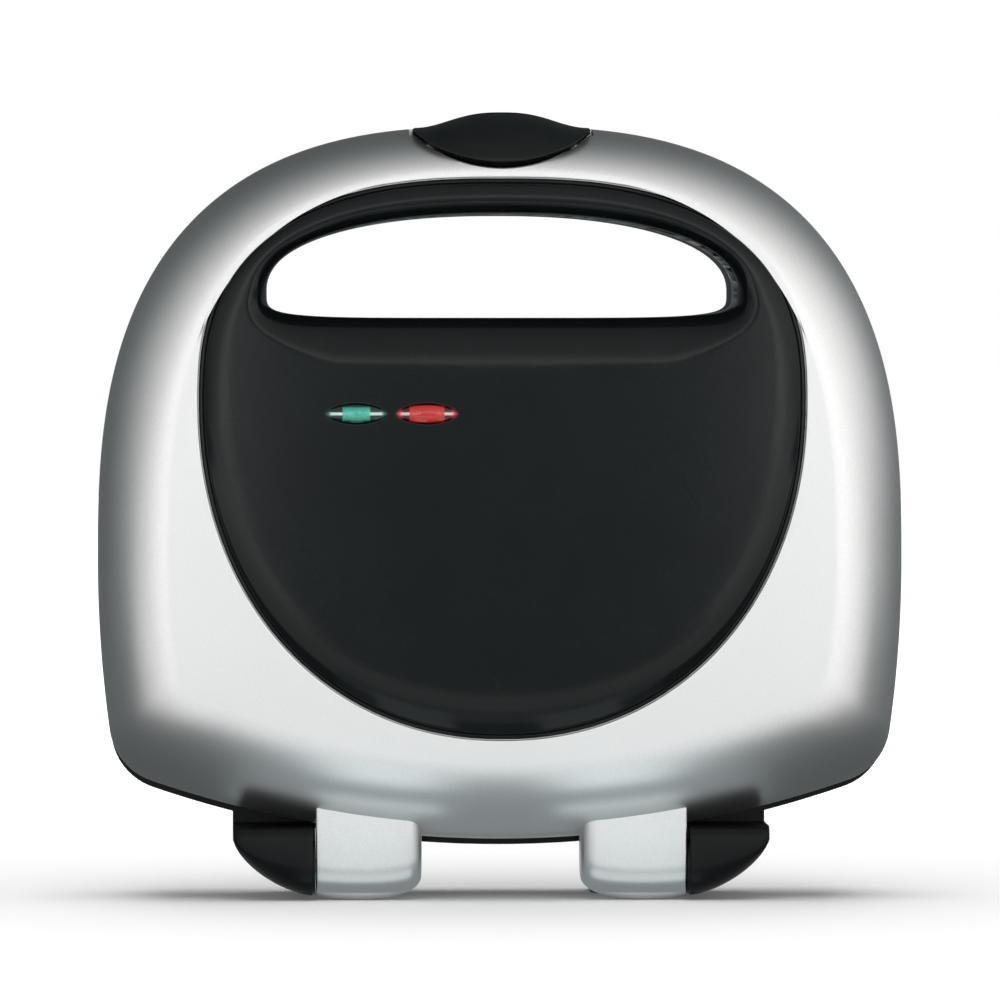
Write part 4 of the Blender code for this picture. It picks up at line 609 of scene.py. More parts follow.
def lidPanel():
    face, seat = lid["depth"] + panel["proud"], lid["depth"] - panel["ledgeDepth"] + body["fit"]
    # points share a bearing on all loops, so that no line between two loops crosses the opening
    shape, wanted = panelFace, (bearings(panelLoop()) + bearings(gripLoop())) / 2
    edge, hole = atBearings(panel, 0.0, wanted), atBearings(grip, 0.0, wanted)
    rollWidths = curveWidths(edge, hole, shape["rollSide"], shape["rollTop"], shape["rollLow"])
    flareWidths = curveWidths(hole, edge, grip["flareSide"], grip["flareTop"], grip["flareLow"])
    loops, size = [], len(edge)
    for i in range(6):
        inset = shape["lipRound"] * (1 - math.cos(math.pi / 2 * i / 5))
        loops.append(offsetLoop(edge, [-inset] * size))
    for share in (0.75, 1.0):
        loops.append(offsetLoop(edge, [-shape["lip"] * share] * size))
    for share in (0.25, 0.5, 0.75, 1.0):
        loops.append(offsetLoop(edge, [-shape["lip"] - shape["groove"] * share] * size))
    lipEnd, turn, count = shape["lip"] + shape["groove"], math.radians(shape["rollTurn"]), shape["ringsRoll"]
    for i in range(1, count + 1):
        share = 1 - math.cos(turn * i / count)
        loops.append(offsetLoop(edge, [-lipEnd - width * share for width in rollWidths]))
    outside = loops[-1]
    flareLoops, count = [], shape["ringsFlare"]
    for i in range(count + 1):
        share = 1 - math.cos(turn * i / count)
        flareLoops.append(offsetLoop(hole, [width * share for width in flareWidths]))
    inside, count = flareLoops[-1], shape["ringsFace"]
    for i in range(1, count):
        share = i / count
        share = share * share * (3 - 2 * share)
        loops.append(mixLoops(outside, inside, share))
    loops += reversed(flareLoops)
    flat = [point for loop in loops for point in loop]
    drops = panelHeights(flat, eggLoop(panel, 0.0, shape["finePoints"]),
                         eggLoop(grip, 0.0, shape["fineGripPoints"]))
    rings = [atDepth(edge, -seat)]
    for k, loop in enumerate(loops):
        rings.append([(x, -(face - drops[k * size + i]), z) for i, (x, z) in enumerate(loop)])
    wall, gap, flareDepth = body["wall"], body["gap"], grip["flareDepth"]
    collar, mouth = atBearings(grip, wall, wanted), atBearings(grip, grip["edge"], wanted)
    ledge = atBearings(panel, -panel["ledge"] - wall, wanted)
    rings += [atDepth(hole, -gap - grip["edge"]), atDepth(mouth, -gap), atDepth(collar, -gap),
              atDepth(collar, -(face - flareDepth - wall)),
              atDepth(mixLoops(collar, ledge, 0.5), -(face - flareDepth)),
              atDepth(ledge, -(face - wall - panel["innerFall"])), atDepth(ledge, -seat)]
    return ringSolid("lidPanel", rings, joined=True, smoothAngle=40.0)


# Latch: a lens-shaped leaf with soft edges, a tongue over the parting line and a tooth under it
def latchPiece():
    # the face has a fine round edge, then a chamfer falls back to the leaf's full outline
    front, edge, back = latch["frontY"], latch["edge"], latch["leafBackY"]
    face, leaf = latchLeafLoop(latch["faceLowZ"]), latchLeafLoop(latch["lowZ"])
    rings, count = [], len(face)
    narrow = offsetLoop(face, [-edge] * count)
    tipX = latch["halfWidth"] - latch["tip"]
    across = [max(-1.0, min(1.0, x / tipX)) for x, z in narrow]
    spineX, middleZ = latch["spineShare"] * tipX, (latch["tipZ"] + latch["faceLowZ"]) / 2
    spine = [(spineX * share, middleZ + (latch["tipZ"] - middleZ) * share ** 2) for share in across]
    for i in range(9):
        rings.append(atDepth(mixLoops(spine, narrow, i / 8), front))
    for i in range(1, 5):
        turn = math.pi / 2 * i / 4
        ring = offsetLoop(face, [-edge * (1 - math.sin(turn))] * count)
        rings.append(atDepth(ring, front + edge * (1 - math.cos(turn))))
    # behind the face only the lower arc grows
    grown = [latch["rearGrow"] if i <= latch["arcSteps"] else 0.0 for i in range(len(leaf))]
    wide = offsetLoop(leaf, grown)
    soft = offsetLoop(wide, [-latch["rearEdge"]] * len(wide))
    rings += [atDepth(leaf, front + latch["chamfer"]), atDepth(leaf, latch["rearY"] - latch["rearStep"]),
              atDepth(wide, latch["rearY"]), atDepth(wide, back - latch["rearEdge"]), atDepth(soft, back)]
    made = ringSolid("latchPiece", rings)
    for vert in made.data.vertices:
        # the front falls back towards the top as the shell's rolled edge does
        highZ = latchLipZ(vert.co.x) + latch["lipOver"]
        height = min(1.0, max(0.0, (highZ - vert.co.z) / (highZ - latch["lowZ"])))
        here = front + latch["fallBack"] * (1 - math.sqrt(1 - (1 - height) ** 2))
        vert.co.y = back + (vert.co.y - back) * (back - here) / (back - front)
    half, under, steps = latch["tongueHalfWidth"], latch["underZ"], 24
    top = [(x, latchLipZ(x)) for x in (half * (1 - 2 * i / steps) for i in range(steps + 1))]
    tongueLoop = [(-half, latch["lowZ"]), (half, latch["lowZ"])] + top
    combine(made, "UNION", prism("tongue", tongueLoop, latch["bodyBackY"], latch["tongueBackY"]))
    reach, toothHalf = latch["halfWidth"] + overrun / 2, latch["toothHalfWidth"]
    combine(made, "DIFFERENCE",
            boxSolid("under", (-reach, reach), (latch["bodyBackY"], latch["tongueBackY"] + overrun),
                     (latch["lowZ"] - overrun, under)))
    combine(made, "UNION",
            boxSolid("tooth", (-toothHalf, toothHalf),
                     (latch["toothY"], latch["toothY"] + latch["toothThickness"]),
                     (latch["keeperTopZ"] + latch["keeperGap"], under + latch["toothSunk"])))
    return reshade(made)


# Indicator lenses: clear coloured domes; the bright light guide behind the middle is painted into their
# finish, its brightness a painted glow
lens = {
    "halfLength": 0.0101, "halfHeight": 0.0036, "z": 0.1569, "readyX": -0.0469, "powerX": -0.0243,
    "proud": 0.0006, "skirt": 0.0010, "points": 48, "pointed": 1.14, "edgeGap": 0.00015, "holeGap": 0.0002,
    "holeYs": (-0.050, -0.0430), "rimDepth": 0.0002, "domePower": 2.2, "domeShare": 0.97, "domeSteps": 9,
}


def lensLoop(x, grow):
    # an oval whose ends are a little pointed
    found, power = [], lens["pointed"]
    for i in range(lens["points"]):
        turn = 2 * math.pi * i / lens["points"]
        across, up = math.cos(turn), math.sin(turn)
        found.append((x + math.copysign(abs(across) ** power, across) * (lens["halfLength"] + grow),
                      lens["z"] + math.copysign(abs(up) ** power, up) * (lens["halfHeight"] + grow)))
    return found


def lensPiece(name, x):
    face, z, skirt = lid["depth"] + panel["proud"], lens["z"], lens["skirt"]
    back, rim = face - body["wall"] - body["fit"], lensLoop(x, -lens["edgeGap"])
    rings = [atDepth(lensLoop(x, skirt), -(back - skirt)), atDepth(lensLoop(x, skirt), -back),
             atDepth(rim, -back)]
    start = face - panelFace["sag"] - lens["rimDepth"]
    for i in range(lens["domeSteps"] + 1):
        share = i / lens["domeSteps"]
        kept = 1 - share * lens["domeShare"]
        loop = [(x + (px - x) * kept, z + (pz - z) * kept) for px, pz in rim]
        rise = (face + lens["proud"] - start) * (1 - (1 - share) ** lens["domePower"])
        rings.append(atDepth(loop, -(start + rise)))
    return ringSolid(name, rings, smoothAngle=50.0)


# Base: the shell with its hinge brackets, stand posts, screw wells, vents and label recess
bracket = {
    "gap": 0.0010, "width": 0.0257, "rise": 0.0185, "power": 1.55, "rearY": 0.026, "heel": 0.003,
    "radius": 0.0096, "faceRise": 0.0088, "shoulder": 0.0040, "swingGap": 0.0007, "topZ": 0.030,
    "outerEdge": 0.0030, "innerEdge": 0.0006, "bossRadius": 0.0090, "bossGap": 0.0002, "bossSunk": 0.002,
    "ribFront": 0.002, "ribBack": 0.005, "ribHeight": 0.0120, "steps": 26,
}
post = {
    "x": 0.0435, "y": 0.022, "width": 0.027, "depth": 0.032, "corner": 0.006, "waist": 0.003,
    "waistStart": 0.0008, "chamfer": 0.0012, "flangeZ": 0.0045, "flangeEdge": 0.0006, "flangeTrim": 0.0002,
    "flangeStep": 0.0001, "waistZ": 0.006, "shoulderZ": 0.0145, "topZ": 0.030,
}
screwWell = {"radius": 0.0040, "bossRadius": 0.0062, "bossY": 0.0173, "y": 0.0198, "bore": 0.0018}
clampPost = {"radius": 0.004, "frontY": 0.0205}
vents = {"count": 7, "pitch": 0.009, "length": 0.024, "width": 0.003, "z": 0.125, "endFlat": 1e-5}
label = {"width": 0.060, "height": 0.034, "z": 0.075, "sunk": 0.0006, "corner": 0.004}
feet = {
    "places": [(side * x, z) for x, z in ((0.092, 0.062), (0.088, 0.205)) for side in (-1, 1)],
    "radius": 0.009, "height": 0.0073, "round": 0.0010, "dimpleRadius": 0.0038, "dimpleDepth": 0.0016,
    "dimpleRound": 0.0008, "dimpleLip": 0.0003, "stemRadius": 0.003, "stemLength": 0.0045,
}
gland = {
    "y": 0.020, "bore": 0.0038, "radius": 0.006, "flangeRadius": 0.008, "flange": 0.0014,
    "length": 0.0106, "sunk": 0.0016, "holeTopZ": 0.030, "backEdge": 0.0003, "frontEdge": 0.0006,
    "frontTrim": 0.0002,
}


def bracketSolid(side):
    lidEdge = lid["lowZ"] + body["lowRadius"]
    inner = knuckle["outerX"] + bracket["gap"]
    topZ = lidEdge - math.sqrt(body["lowRadius"] ** 2 - inner ** 2) - bracket["swingGap"]
    lowZ, front = hinge["z"] - bracket["radius"], hinge["y"] - bracket["radius"]
    faceZ, heel, rearY = hinge["z"] + bracket["faceRise"], bracket["heel"], bracket["rearY"]
    profile = [(0.0, topZ)]
    for i in range(9):
        turn = math.pi / 2 * i / 8
        y = front + bracket["shoulder"] * (1 - math.sin(turn))
        profile.append((y, faceZ + (topZ - faceZ) * math.cos(turn)))
    profile += arcPoints((hinge["y"], hinge["z"]), bracket["radius"], math.pi, 3 * math.pi / 2, 20)
    profile += [(0.0, lowZ), (rearY - heel, lowZ)]
    profile += arcPoints((rearY - heel, lowZ + heel), heel, -math.pi / 2, 0.0, 8)[1:]
    profile += [(rearY, bracket["topZ"]), (0.0, bracket["topZ"])]
    outer, steps = inner + bracket["width"], bracket["steps"]
    stations = [inner + bracket["innerEdge"] * (1 - math.cos(math.pi / 2 * i / 3)) for i in range(4)]
    stations += [inner + bracket["innerEdge"] + (bracket["width"] - bracket["innerEdge"])
                 * math.sin(math.pi / 2 * i / steps) for i in range(1, steps + 1)]
    rings, sideTop = [], lowZ + bracket["rise"]
    for x in stations:
        share = min(1.0, (x - inner) / bracket["width"])
        rise = bracket["rise"] * (1 - max(0.0, 1 - share ** bracket["power"]) ** (1 / bracket["power"]))
        trim = edgeInset(x - inner, bracket["innerEdge"])
        back = edgeInset(outer - x, bracket["outerEdge"]) + trim
        down = (sideTop - lowZ - rise - trim) / (sideTop - lowZ)
        ring = []
        for y, z in profile:
            newZ = sideTop - (sideTop - z) * down if z < sideTop else z
            ring.append((side * x, y + back * max(0.0, min(1.0, y / front)), newZ))
        rings.append(ring)
    made = ringSolid("bracket", rings)
    boss = sorted((side * (knuckle["outerX"] + bracket["bossGap"]), side * (inner + bracket["bossSunk"])))
    combine(made, "UNION", rodSolid("bearing", bracket["bossRadius"], *boss, "x", (hinge["y"], hinge["z"])),
            boxSolid("rib", boss, (hinge["y"] - bracket["ribFront"], hinge["y"] + bracket["ribBack"]),
                     (hinge["z"], hinge["z"] + bracket["ribHeight"])))
    inset = body["wall"] + body["fit"] / 2
    space = insetBody(bodyLoop(base["lowZ"]), base["lowZ"], inset, inset, inset)
    return combine(made, "DIFFERENCE", prism("bezelSpace", space, -overrun, body["bezelBackY"]))


def postSolid(side):
    chamfer, waist, flangeZ = post["chamfer"], post["waist"], post["flangeZ"]
    levels = [(0.0, chamfer)]
    for i in range(1, 5):
        turn = math.pi / 2 * i / 4
        levels.append((chamfer * (1 - math.cos(turn)), chamfer * (1 - math.sin(turn))))
    edge, trim, start = post["flangeEdge"], post["flangeTrim"], post["waistStart"]
    levels += [(flangeZ - edge, 0.0), (flangeZ - trim, trim), (flangeZ, edge)]
    for i in range(9):
        share = i / 8
        levels.append((flangeZ + post["flangeStep"] + (post["waistZ"] - flangeZ) * share,
                       start + (waist - start) * math.sin(math.pi / 2 * share)))
    for i in range(9):
        share = i / 8
        levels.append((post["shoulderZ"] + (post["topZ"] - post["shoulderZ"]) * share,
                       waist * (1 - share * share * (3 - 2 * share))))
    rings = []
    for z, inset in levels:
        outline = boxLoop(post["width"] - 2 * inset, post["depth"] - 2 * inset, post["corner"],
                          side * post["x"], post["y"], 8)
        rings.append([(x, y, z) for x, y in outline])
    return ringSolid("post", rings)


def baseShell():
    depth, wall, gap, fit = base["depth"], body["wall"], body["gap"], body["fit"]
    made = ringSolid("baseShell", dishRings(base, baseWay, 0.0))
    inside = dishRings(base, baseWay, wall, 10)
    combine(made, "DIFFERENCE",
            ringSolid("cavity", [atDepth(flatten(inside[0]), gap - overrun / 2)] + inside))
    straight, flared = gripLoop(wall), gripLoop(wall, grip["sleeveFlare"])
    sleeve = [atDepth(straight, gap), atDepth(straight, depth - grip["flareDepth"] - wall),
              atDepth(flared, depth - wall), atDepth(flared, depth - wall / 2)]
    combine(made, "UNION", ringSolid("sleeve", sleeve))
    rim = gripLoop(grip["edge"])
    mouth = [atDepth(rim, gap - overrun / 2), atDepth(rim, gap), atDepth(gripLoop(), gap + grip["edge"])]
    for i in range(13):
        turn = math.pi / 2 * i / 12
        flare = gripLoop(0.0, 1 - math.cos(turn))
        mouth.append(atDepth(flare, depth - grip["flareDepth"] * (1 - math.sin(turn))))
    mouth.append(atDepth(gripLoop(0.0, 1.0), depth + overrun / 2))
    combine(made, "DIFFERENCE", ringSolid("mouth", mouth))
    sunkY = depth - overrun / 2  # the bosses end inside the back wall
    bosses = [rodSolid("boss", screwWell["bossRadius"], screwWell["bossY"], sunkY, "y", place)
              for place in screwPlaces["case"]]
    bosses += [rodSolid("clampPost", clampPost["radius"], clampPost["frontY"], sunkY, "y", place)
               for place in screwPlaces["clamp"]]
    liner = latchSlot(latch["tongueHalfWidth"], latch["slotFloorZ"], latch["pocketWall"],
                      body["bezelBackY"], latch["slotBackY"] + latch["pocketWall"])
    combine(liner, "INTERSECT", ringSolid("wholeBase", dishRings(base, baseWay, body["linerInset"])))
    combine(made, "UNION", *bosses, liner)
    combine(made, "UNION", bracketSolid(-1), bracketSolid(1), postSolid(-1), postSolid(1))
    glandPlace, seatZ = (0.0, gland["y"]), base["lowZ"] + gland["sunk"]
    labelLoop = boxLoop(label["width"], label["height"], label["corner"], 0.0, label["z"])
    cutters = [latchSlot(latch["tongueHalfWidth"], latch["slotFloorZ"], 0.0, -overrun, latch["slotBackY"]),
               rodSolid("glandHole", gland["radius"] + fit, 0.0, gland["holeTopZ"], "z", glandPlace),
               rodSolid("glandSeat", gland["flangeRadius"] + fit, 0.0, seatZ, "z", glandPlace),
               prism("labelRecess", labelLoop, depth - label["sunk"], depth + overrun)]
    for place in screwPlaces["case"]:
        cutters.append(rodSolid("well", screwWell["radius"], screwWell["y"], depth + overrun, "y", place))
        cutters.append(rodSolid("bore", screwWell["bore"], 0.0, depth, "y", place, 24))
    wallEnds = depth - wall - overrun, depth + overrun
    for place in feet["places"]:
        cutters.append(rodSolid("footHole", feet["stemRadius"] + fit, *wallEnds, "y", place, 24))
    for i in range(vents["count"]):
        x = (i - (vents["count"] - 1) / 2) * vents["pitch"]
        corner = vents["width"] / 2 - vents["endFlat"]
        slotLoop = boxLoop(vents["width"], vents["length"], corner, x, vents["z"], 8)
        cutters.append(prism("vent", slotLoop, *wallEnds))
    combine(made, "DIFFERENCE", *cutters)
    keeperHalf, sunkZ = latch["keeperHalfWidth"], latch["slotFloorZ"] - latch["pocketWall"] / 2
    combine(made, "UNION", boxSolid("keeper", (-keeperHalf, keeperHalf),
                                    (latch["keeperFrontY"], latch["toothY"] - latch["keeperGap"]),
                                    (sunkZ, latch["keeperTopZ"])))
    return reshade(made)


def footPiece(name, place):
    height, edge, radius, lip = feet["height"], feet["round"], feet["radius"], feet["dimpleLip"]
    dimple, floor, soft = feet["dimpleRadius"], feet["height"] - feet["dimpleDepth"], feet["dimpleRound"]
    profile = [(hubRadius, floor), (dimple - soft, floor)]
    profile += [(dimple - soft + soft * math.sin(a), floor + soft - soft * math.cos(a))
                for a in (math.pi / 2 * i / 4 for i in range(1, 5))]
    profile += [(dimple, height - lip), (dimple + lip, height)]
    profile += [(radius - edge + edge * math.sin(a), height - edge + edge * math.cos(a))
                for a in (math.pi / 2 * i / 5 for i in range(6))]
    profile += [(radius, 0.0), (feet["stemRadius"], 0.0), (feet["stemRadius"], -feet["stemLength"]),
                (hubRadius, -feet["stemLength"])]
    backY = base["depth"] + body["fit"]
    shape = turnedShape(profile, 48, place=lambda u, v, h: (place[0] + u, backY + h, place[1] + v))
    return meshObject(name, shape)


def glandPiece():
    wallZ, fit = base["lowZ"] + gland["sunk"], body["fit"]
    inner, outer, flange = gland["bore"], gland["radius"], gland["flangeRadius"]
    low, edge, soft, trim = -fit - gland["flange"], gland["backEdge"], gland["frontEdge"], gland["frontTrim"]
    profile = [(inner, gland["length"]), (outer, gland["length"]), (outer, -fit), (flange - edge, -fit),
               (flange, -fit - edge), (flange, low + soft), (flange - trim, low + trim),
               (flange - soft, low), (inner + soft, low), (inner, low + soft)]
    shape = turnedShape(profile, 48, joined=True, place=lambda u, v, h: (u, gland["y"] + v, wallZ + h))
    return meshObject("cordGland", shape)


# Bezels: the frames round the plates, let into both rims
bezel = {
    "thickness": 0.0029, "round": 0.0003, "cupDepth": 0.005, "cupBoreY": -0.012, "sunk": 0.0005,
    "postRadius": 0.0042, "postEnd": 0.017, "boreDepth": 0.0143, "boreEnd": 0.030, "relief": 0.0005,
    "ribReach": 0.0003, "ribInsets": (0.0010, 0.0026), "lidScrewY": -0.0059, "baseScrewY": 0.0198,
    "slotReach": 0.010,
}
plate = {
    "width": 0.232, "height": 0.132, "z": 0.110, "corner": 0.014, "inset": 0.0035, "face": 0.0008,
    "flange": 0.0038, "flangeEdge": 0.0004, "thickness": 0.003, "round": 0.0008, "margin": 0.0035,
    "ridge": 0.006, "pocketDepth": 0.010, "lip": 0.0012, "pocketCorner": 0.010, "cornerShrink": 0.3,
    "slope": 0.006, "wall": 0.0026, "sunk": 0.001, "bossRadius": 0.0045, "bossEnd": 0.0147,
    "boreFrom": 0.0068, "boreTo": 0.030, "trayY": 0.0158, "screwReach": 0.03498,
}
screwPlaces = {
    "case": [(side * x, z) for x, z in ((0.0700, 0.03504), (0.104, 0.186)) for side in (-1, 1)],
    "plate": [(0.0, plate["z"] + side * plate["screwReach"]) for side in (-1, 1)],
    "clamp": [(-0.0105, 0.037), (0.0105, 0.037)],
}


def plateLoop(grow):
    # the outline of a plate's raised table
    width, height = plate["width"] - 2 * plate["inset"], plate["height"] - 2 * plate["inset"]
    corner = plate["corner"] - plate["inset"] + grow
    return boxLoop(width + 2 * grow, height + 2 * grow, corner, 0.0, plate["z"], 10)


def bezelPiece(name, half, way):
    inset, edge, sunk = body["wall"] + body["fit"], bezel["round"], bezel["sunk"]
    near, far = body["gap"] + (bezel["relief"] if way < 0 else 0.0), body["gap"] + bezel["thickness"]
    outline = insetBody(bodyLoop(half["lowZ"]), half["lowZ"], inset, inset, inset)
    made = ringSolid(name, [atDepth(offsetLoop(outline, [-edge] * len(outline)), way * near),
                            atDepth(outline, way * (near + edge)), atDepth(outline, way * far)])
    if way > 0:
        # a low rib on the base's bezel keeps light out of the seam
        outer, inner = (offsetLoop(outline, [-reach] * len(outline)) for reach in bezel["ribInsets"])
        rib = combine(prism("rib", outer, -body["gap"] - bezel["ribReach"], near + edge), "DIFFERENCE",
                      prism("ribInside", inner, -2 * overrun, 2 * overrun))
        combine(made, "UNION", rib)
    mouths = []
    for loopAt in (lambda grow: plateLoop(body["fit"] + grow), lambda grow: gripLoop(inset + grow)):
        rings = [atDepth(loopAt(2 * edge), way * (near - edge))]
        for i in range(4):
            turn = math.pi / 2 * i / 3
            loop = loopAt(edge * (1 - math.sin(turn)))
            rings.append(atDepth(loop, way * (near + edge * (1 - math.cos(turn)))))
        rings.append(atDepth(loopAt(0.0), way * (far + overrun / 2)))
        mouths.append(ringSolid("mouth", rings))
    for place in screwPlaces["case"]:
        if way < 0:
            end = -(far + bezel["cupDepth"])
            combine(made, "UNION", rodSolid("cup", screwWell["bossRadius"], end, -far + sunk, "y", place))
        else:
            end = bezel["postEnd"]
            combine(made, "UNION", rodSolid("post", bezel["postRadius"], far - sunk, end, "y", place))
    combine(made, "DIFFERENCE", *mouths)
    for place in screwPlaces["case"]:
        if way < 0:
            combine(made, "DIFFERENCE",
                    rodSolid("cupWell", screwWell["radius"], bezel["lidScrewY"], overrun, "y", place),
                    rodSolid("cupBore", screwWell["bore"], bezel["cupBoreY"], overrun, "y", place, 24))
        else:
            start = bezel["baseScrewY"] - bezel["boreDepth"]
            combine(made, "DIFFERENCE",
                    rodSolid("postBore", screwWell["bore"], start, bezel["boreEnd"], "y", place, 24))
    floorZ, reach = latch["lidSlotFloorZ"] if way < 0 else latch["slotFloorZ"], bezel["slotReach"]
    slot = latchSlot(latch["tongueHalfWidth"], floorZ, latch["pocketWall"], -reach, reach)
    return reshade(combine(made, "DIFFERENCE", slot))


# Cooking plates: two bays of two triangular pockets with rounded lips and running-out walls
def roundedTriangle(corners, inset, radius, steps=12):
    sides = [math.dist(corners[(i + 1) % 3], corners[(i + 2) % 3]) for i in range(3)]
    middle = [sum(side * corner[k] for side, corner in zip(sides, corners)) / sum(sides) for k in (0, 1)]
    (ax, az), (bx, bz), (cx, cz) = corners
    inner = abs((bx - ax) * (cz - az) - (cx - ax) * (bz - az)) / sum(sides)
    share = (inner - inset - radius) / inner
    found = []
    for i, corner in enumerate(corners):
        before, after = corners[i - 1], corners[(i + 1) % 3]
        centre = [middle[k] + (corner[k] - middle[k]) * share for k in (0, 1)]
        start = math.atan2(corner[1] - before[1], corner[0] - before[0]) - math.pi / 2
        end = math.atan2(after[1] - corner[1], after[0] - corner[0]) - math.pi / 2
        found += arcPoints(centre, radius, start, end + 2 * math.pi if end < start else end, steps)
    return found


def pocketTriangles():
    right = plate["width"] / 2 - plate["inset"] - plate["margin"]
    half, left = plate["height"] / 2 - plate["inset"] - plate["margin"], plate["ridge"] / 2
    low, high = plate["z"] - half, plate["z"] + half
    bay = [((left, low), (right, low), (right, high)), ((left, low), (right, high), (left, high))]
    return bay + [tuple((-x, z) for x, z in reversed(corners)) for corners in bay]


def pocketSolid(corners, way, grow):
    # the hollow itself, or with grow the bulge that it makes in the plate's back
    face, lip, steps = plate["face"], plate["lip"], 10
    levels = []
    if grow:
        start = plate["flange"] + plate["sunk"]
    else:
        start = face + lip
        levels.append((-lip, face - overrun / 2))
        for i in range(6):
            turn = math.pi / 2 * i / 6
            levels.append((-lip * (1 - math.sin(turn)), face + lip * (1 - math.cos(turn))))
    deep = face + plate["pocketDepth"] + grow - start
    for i in range(steps + 1):
        turn = math.pi / 2 * i / steps
        levels.append((plate["slope"] * (1 - math.cos(turn)), start + deep * math.sin(turn)))
    rings = []
    for drawn, y in levels:
        corner = plate["pocketCorner"] + grow - max(0.0, drawn) * plate["cornerShrink"]
        loop = roundedTriangle(corners, plate["ridge"] / 2 - grow + drawn, corner)
        rings.append(atDepth(loop, way * y))
    return ringSolid("pocket", rings)


def cookingPlate(name, way):
    edge, flangeY, trim = plate["round"], plate["flange"], plate["flangeEdge"]
    rings = []
    for i in range(5):
        turn = math.pi / 2 * i / 4
        loop = plateLoop(-edge * (1 - math.sin(turn)))
        rings.append(atDepth(loop, way * (plate["face"] + edge * (1 - math.cos(turn)))))
    back, wide = flangeY + plate["thickness"], plateLoop(plate["inset"])
    rings += [atDepth(plateLoop(0.0), way * flangeY),
              atDepth(plateLoop(plate["inset"] - trim), way * flangeY),
              atDepth(wide, way * (flangeY + trim)), atDepth(wide, way * back)]
    made = ringSolid(name, rings)
    for corners in pocketTriangles():
        combine(made, "UNION", pocketSolid(corners, way, plate["wall"]))
    for place in screwPlaces["plate"]:
        ends = sorted((way * (flangeY + plate["sunk"]), way * plate["bossEnd"]))
        combine(made, "UNION", rodSolid("boss", plate["bossRadius"], *ends, "y", place))
    for corners in pocketTriangles():
        combine(made, "DIFFERENCE", pocketSolid(corners, way, 0.0))
    for place in screwPlaces["plate"]:
        ends = sorted((way * plate["boreFrom"], way * plate["boreTo"]))
        combine(made, "DIFFERENCE", rodSolid("bore", screwWell["bore"], *ends, "y", place, 24))
    return reshade(made, smoothAngle=30.0)


# Screws: Geometry Nodes set a pan head and a threaded shank on each place, turned by chance
screw = {
    "headRadius": 0.0035, "headHeight": 0.0022, "headEdge": 0.0002, "crownShare": 0.45, "hubShare": 0.1,
    "radius": 0.0015, "length": 0.014, "plateLength": 0.009, "clampLength": 0.010, "clampY": 0.0159,
    "neckFrom": 0.0001, "neckTo": 0.0008, "threadFrom": 0.0010, "pitch": 0.0008, "plainTurns": 2,
    "rootShare": 0.8, "threadShares": (0.0, 0.35, 0.6, 0.75), "tipShare": 0.75, "tipLengthShare": 0.6,
    "recess": (0.0018, 0.00035, 0.0012), "spinSeed": 7,
}


def screwHead():
    radius, height, edge = screw["headRadius"], screw["headHeight"], screw["headEdge"]
    profile, crown = [(radius - edge, 0.0), (radius, edge)], screw["crownShare"]
    for i in range(8):
        turn = math.pi / 2 * i / 8
        wide, high = crown + (1 - crown) * math.cos(turn), crown + (1 - crown) * math.sin(turn)
        profile.append((radius * wide, height * high))
    profile += [(radius * crown, height), (radius * screw["hubShare"], height)]
    made = meshObject("screwHead", turnedShape(profile, 40))
    long, thin, deep = screw["recess"]
    for x, y in ((long, thin), (thin, long)):
        cutter = boxSolid("recess", (-x, x), (-y, y), (height - deep, height + overrun / 2))
        combine(made, "DIFFERENCE", cutter)
    return reshade(made)


def screwShank():
    radius, pitch, length = screw["radius"], screw["pitch"], screw["length"]
    root, turns = radius * screw["rootShare"], int(length / pitch) - screw["plainTurns"]
    profile = [(radius, screw["neckFrom"]), (radius, -screw["neckTo"])]
    for i in range(turns):
        z = -screw["threadFrom"] - pitch * i
        for reach, share in zip((root, root, radius, radius), screw["threadShares"]):
            profile.append((reach, z - pitch * share))
    tipZ = -length + radius * screw["tipLengthShare"]
    profile += [(radius * screw["tipShare"], tipZ), (hubRadius, -length)]
    return meshObject("screwShank", turnedShape(profile, 24))


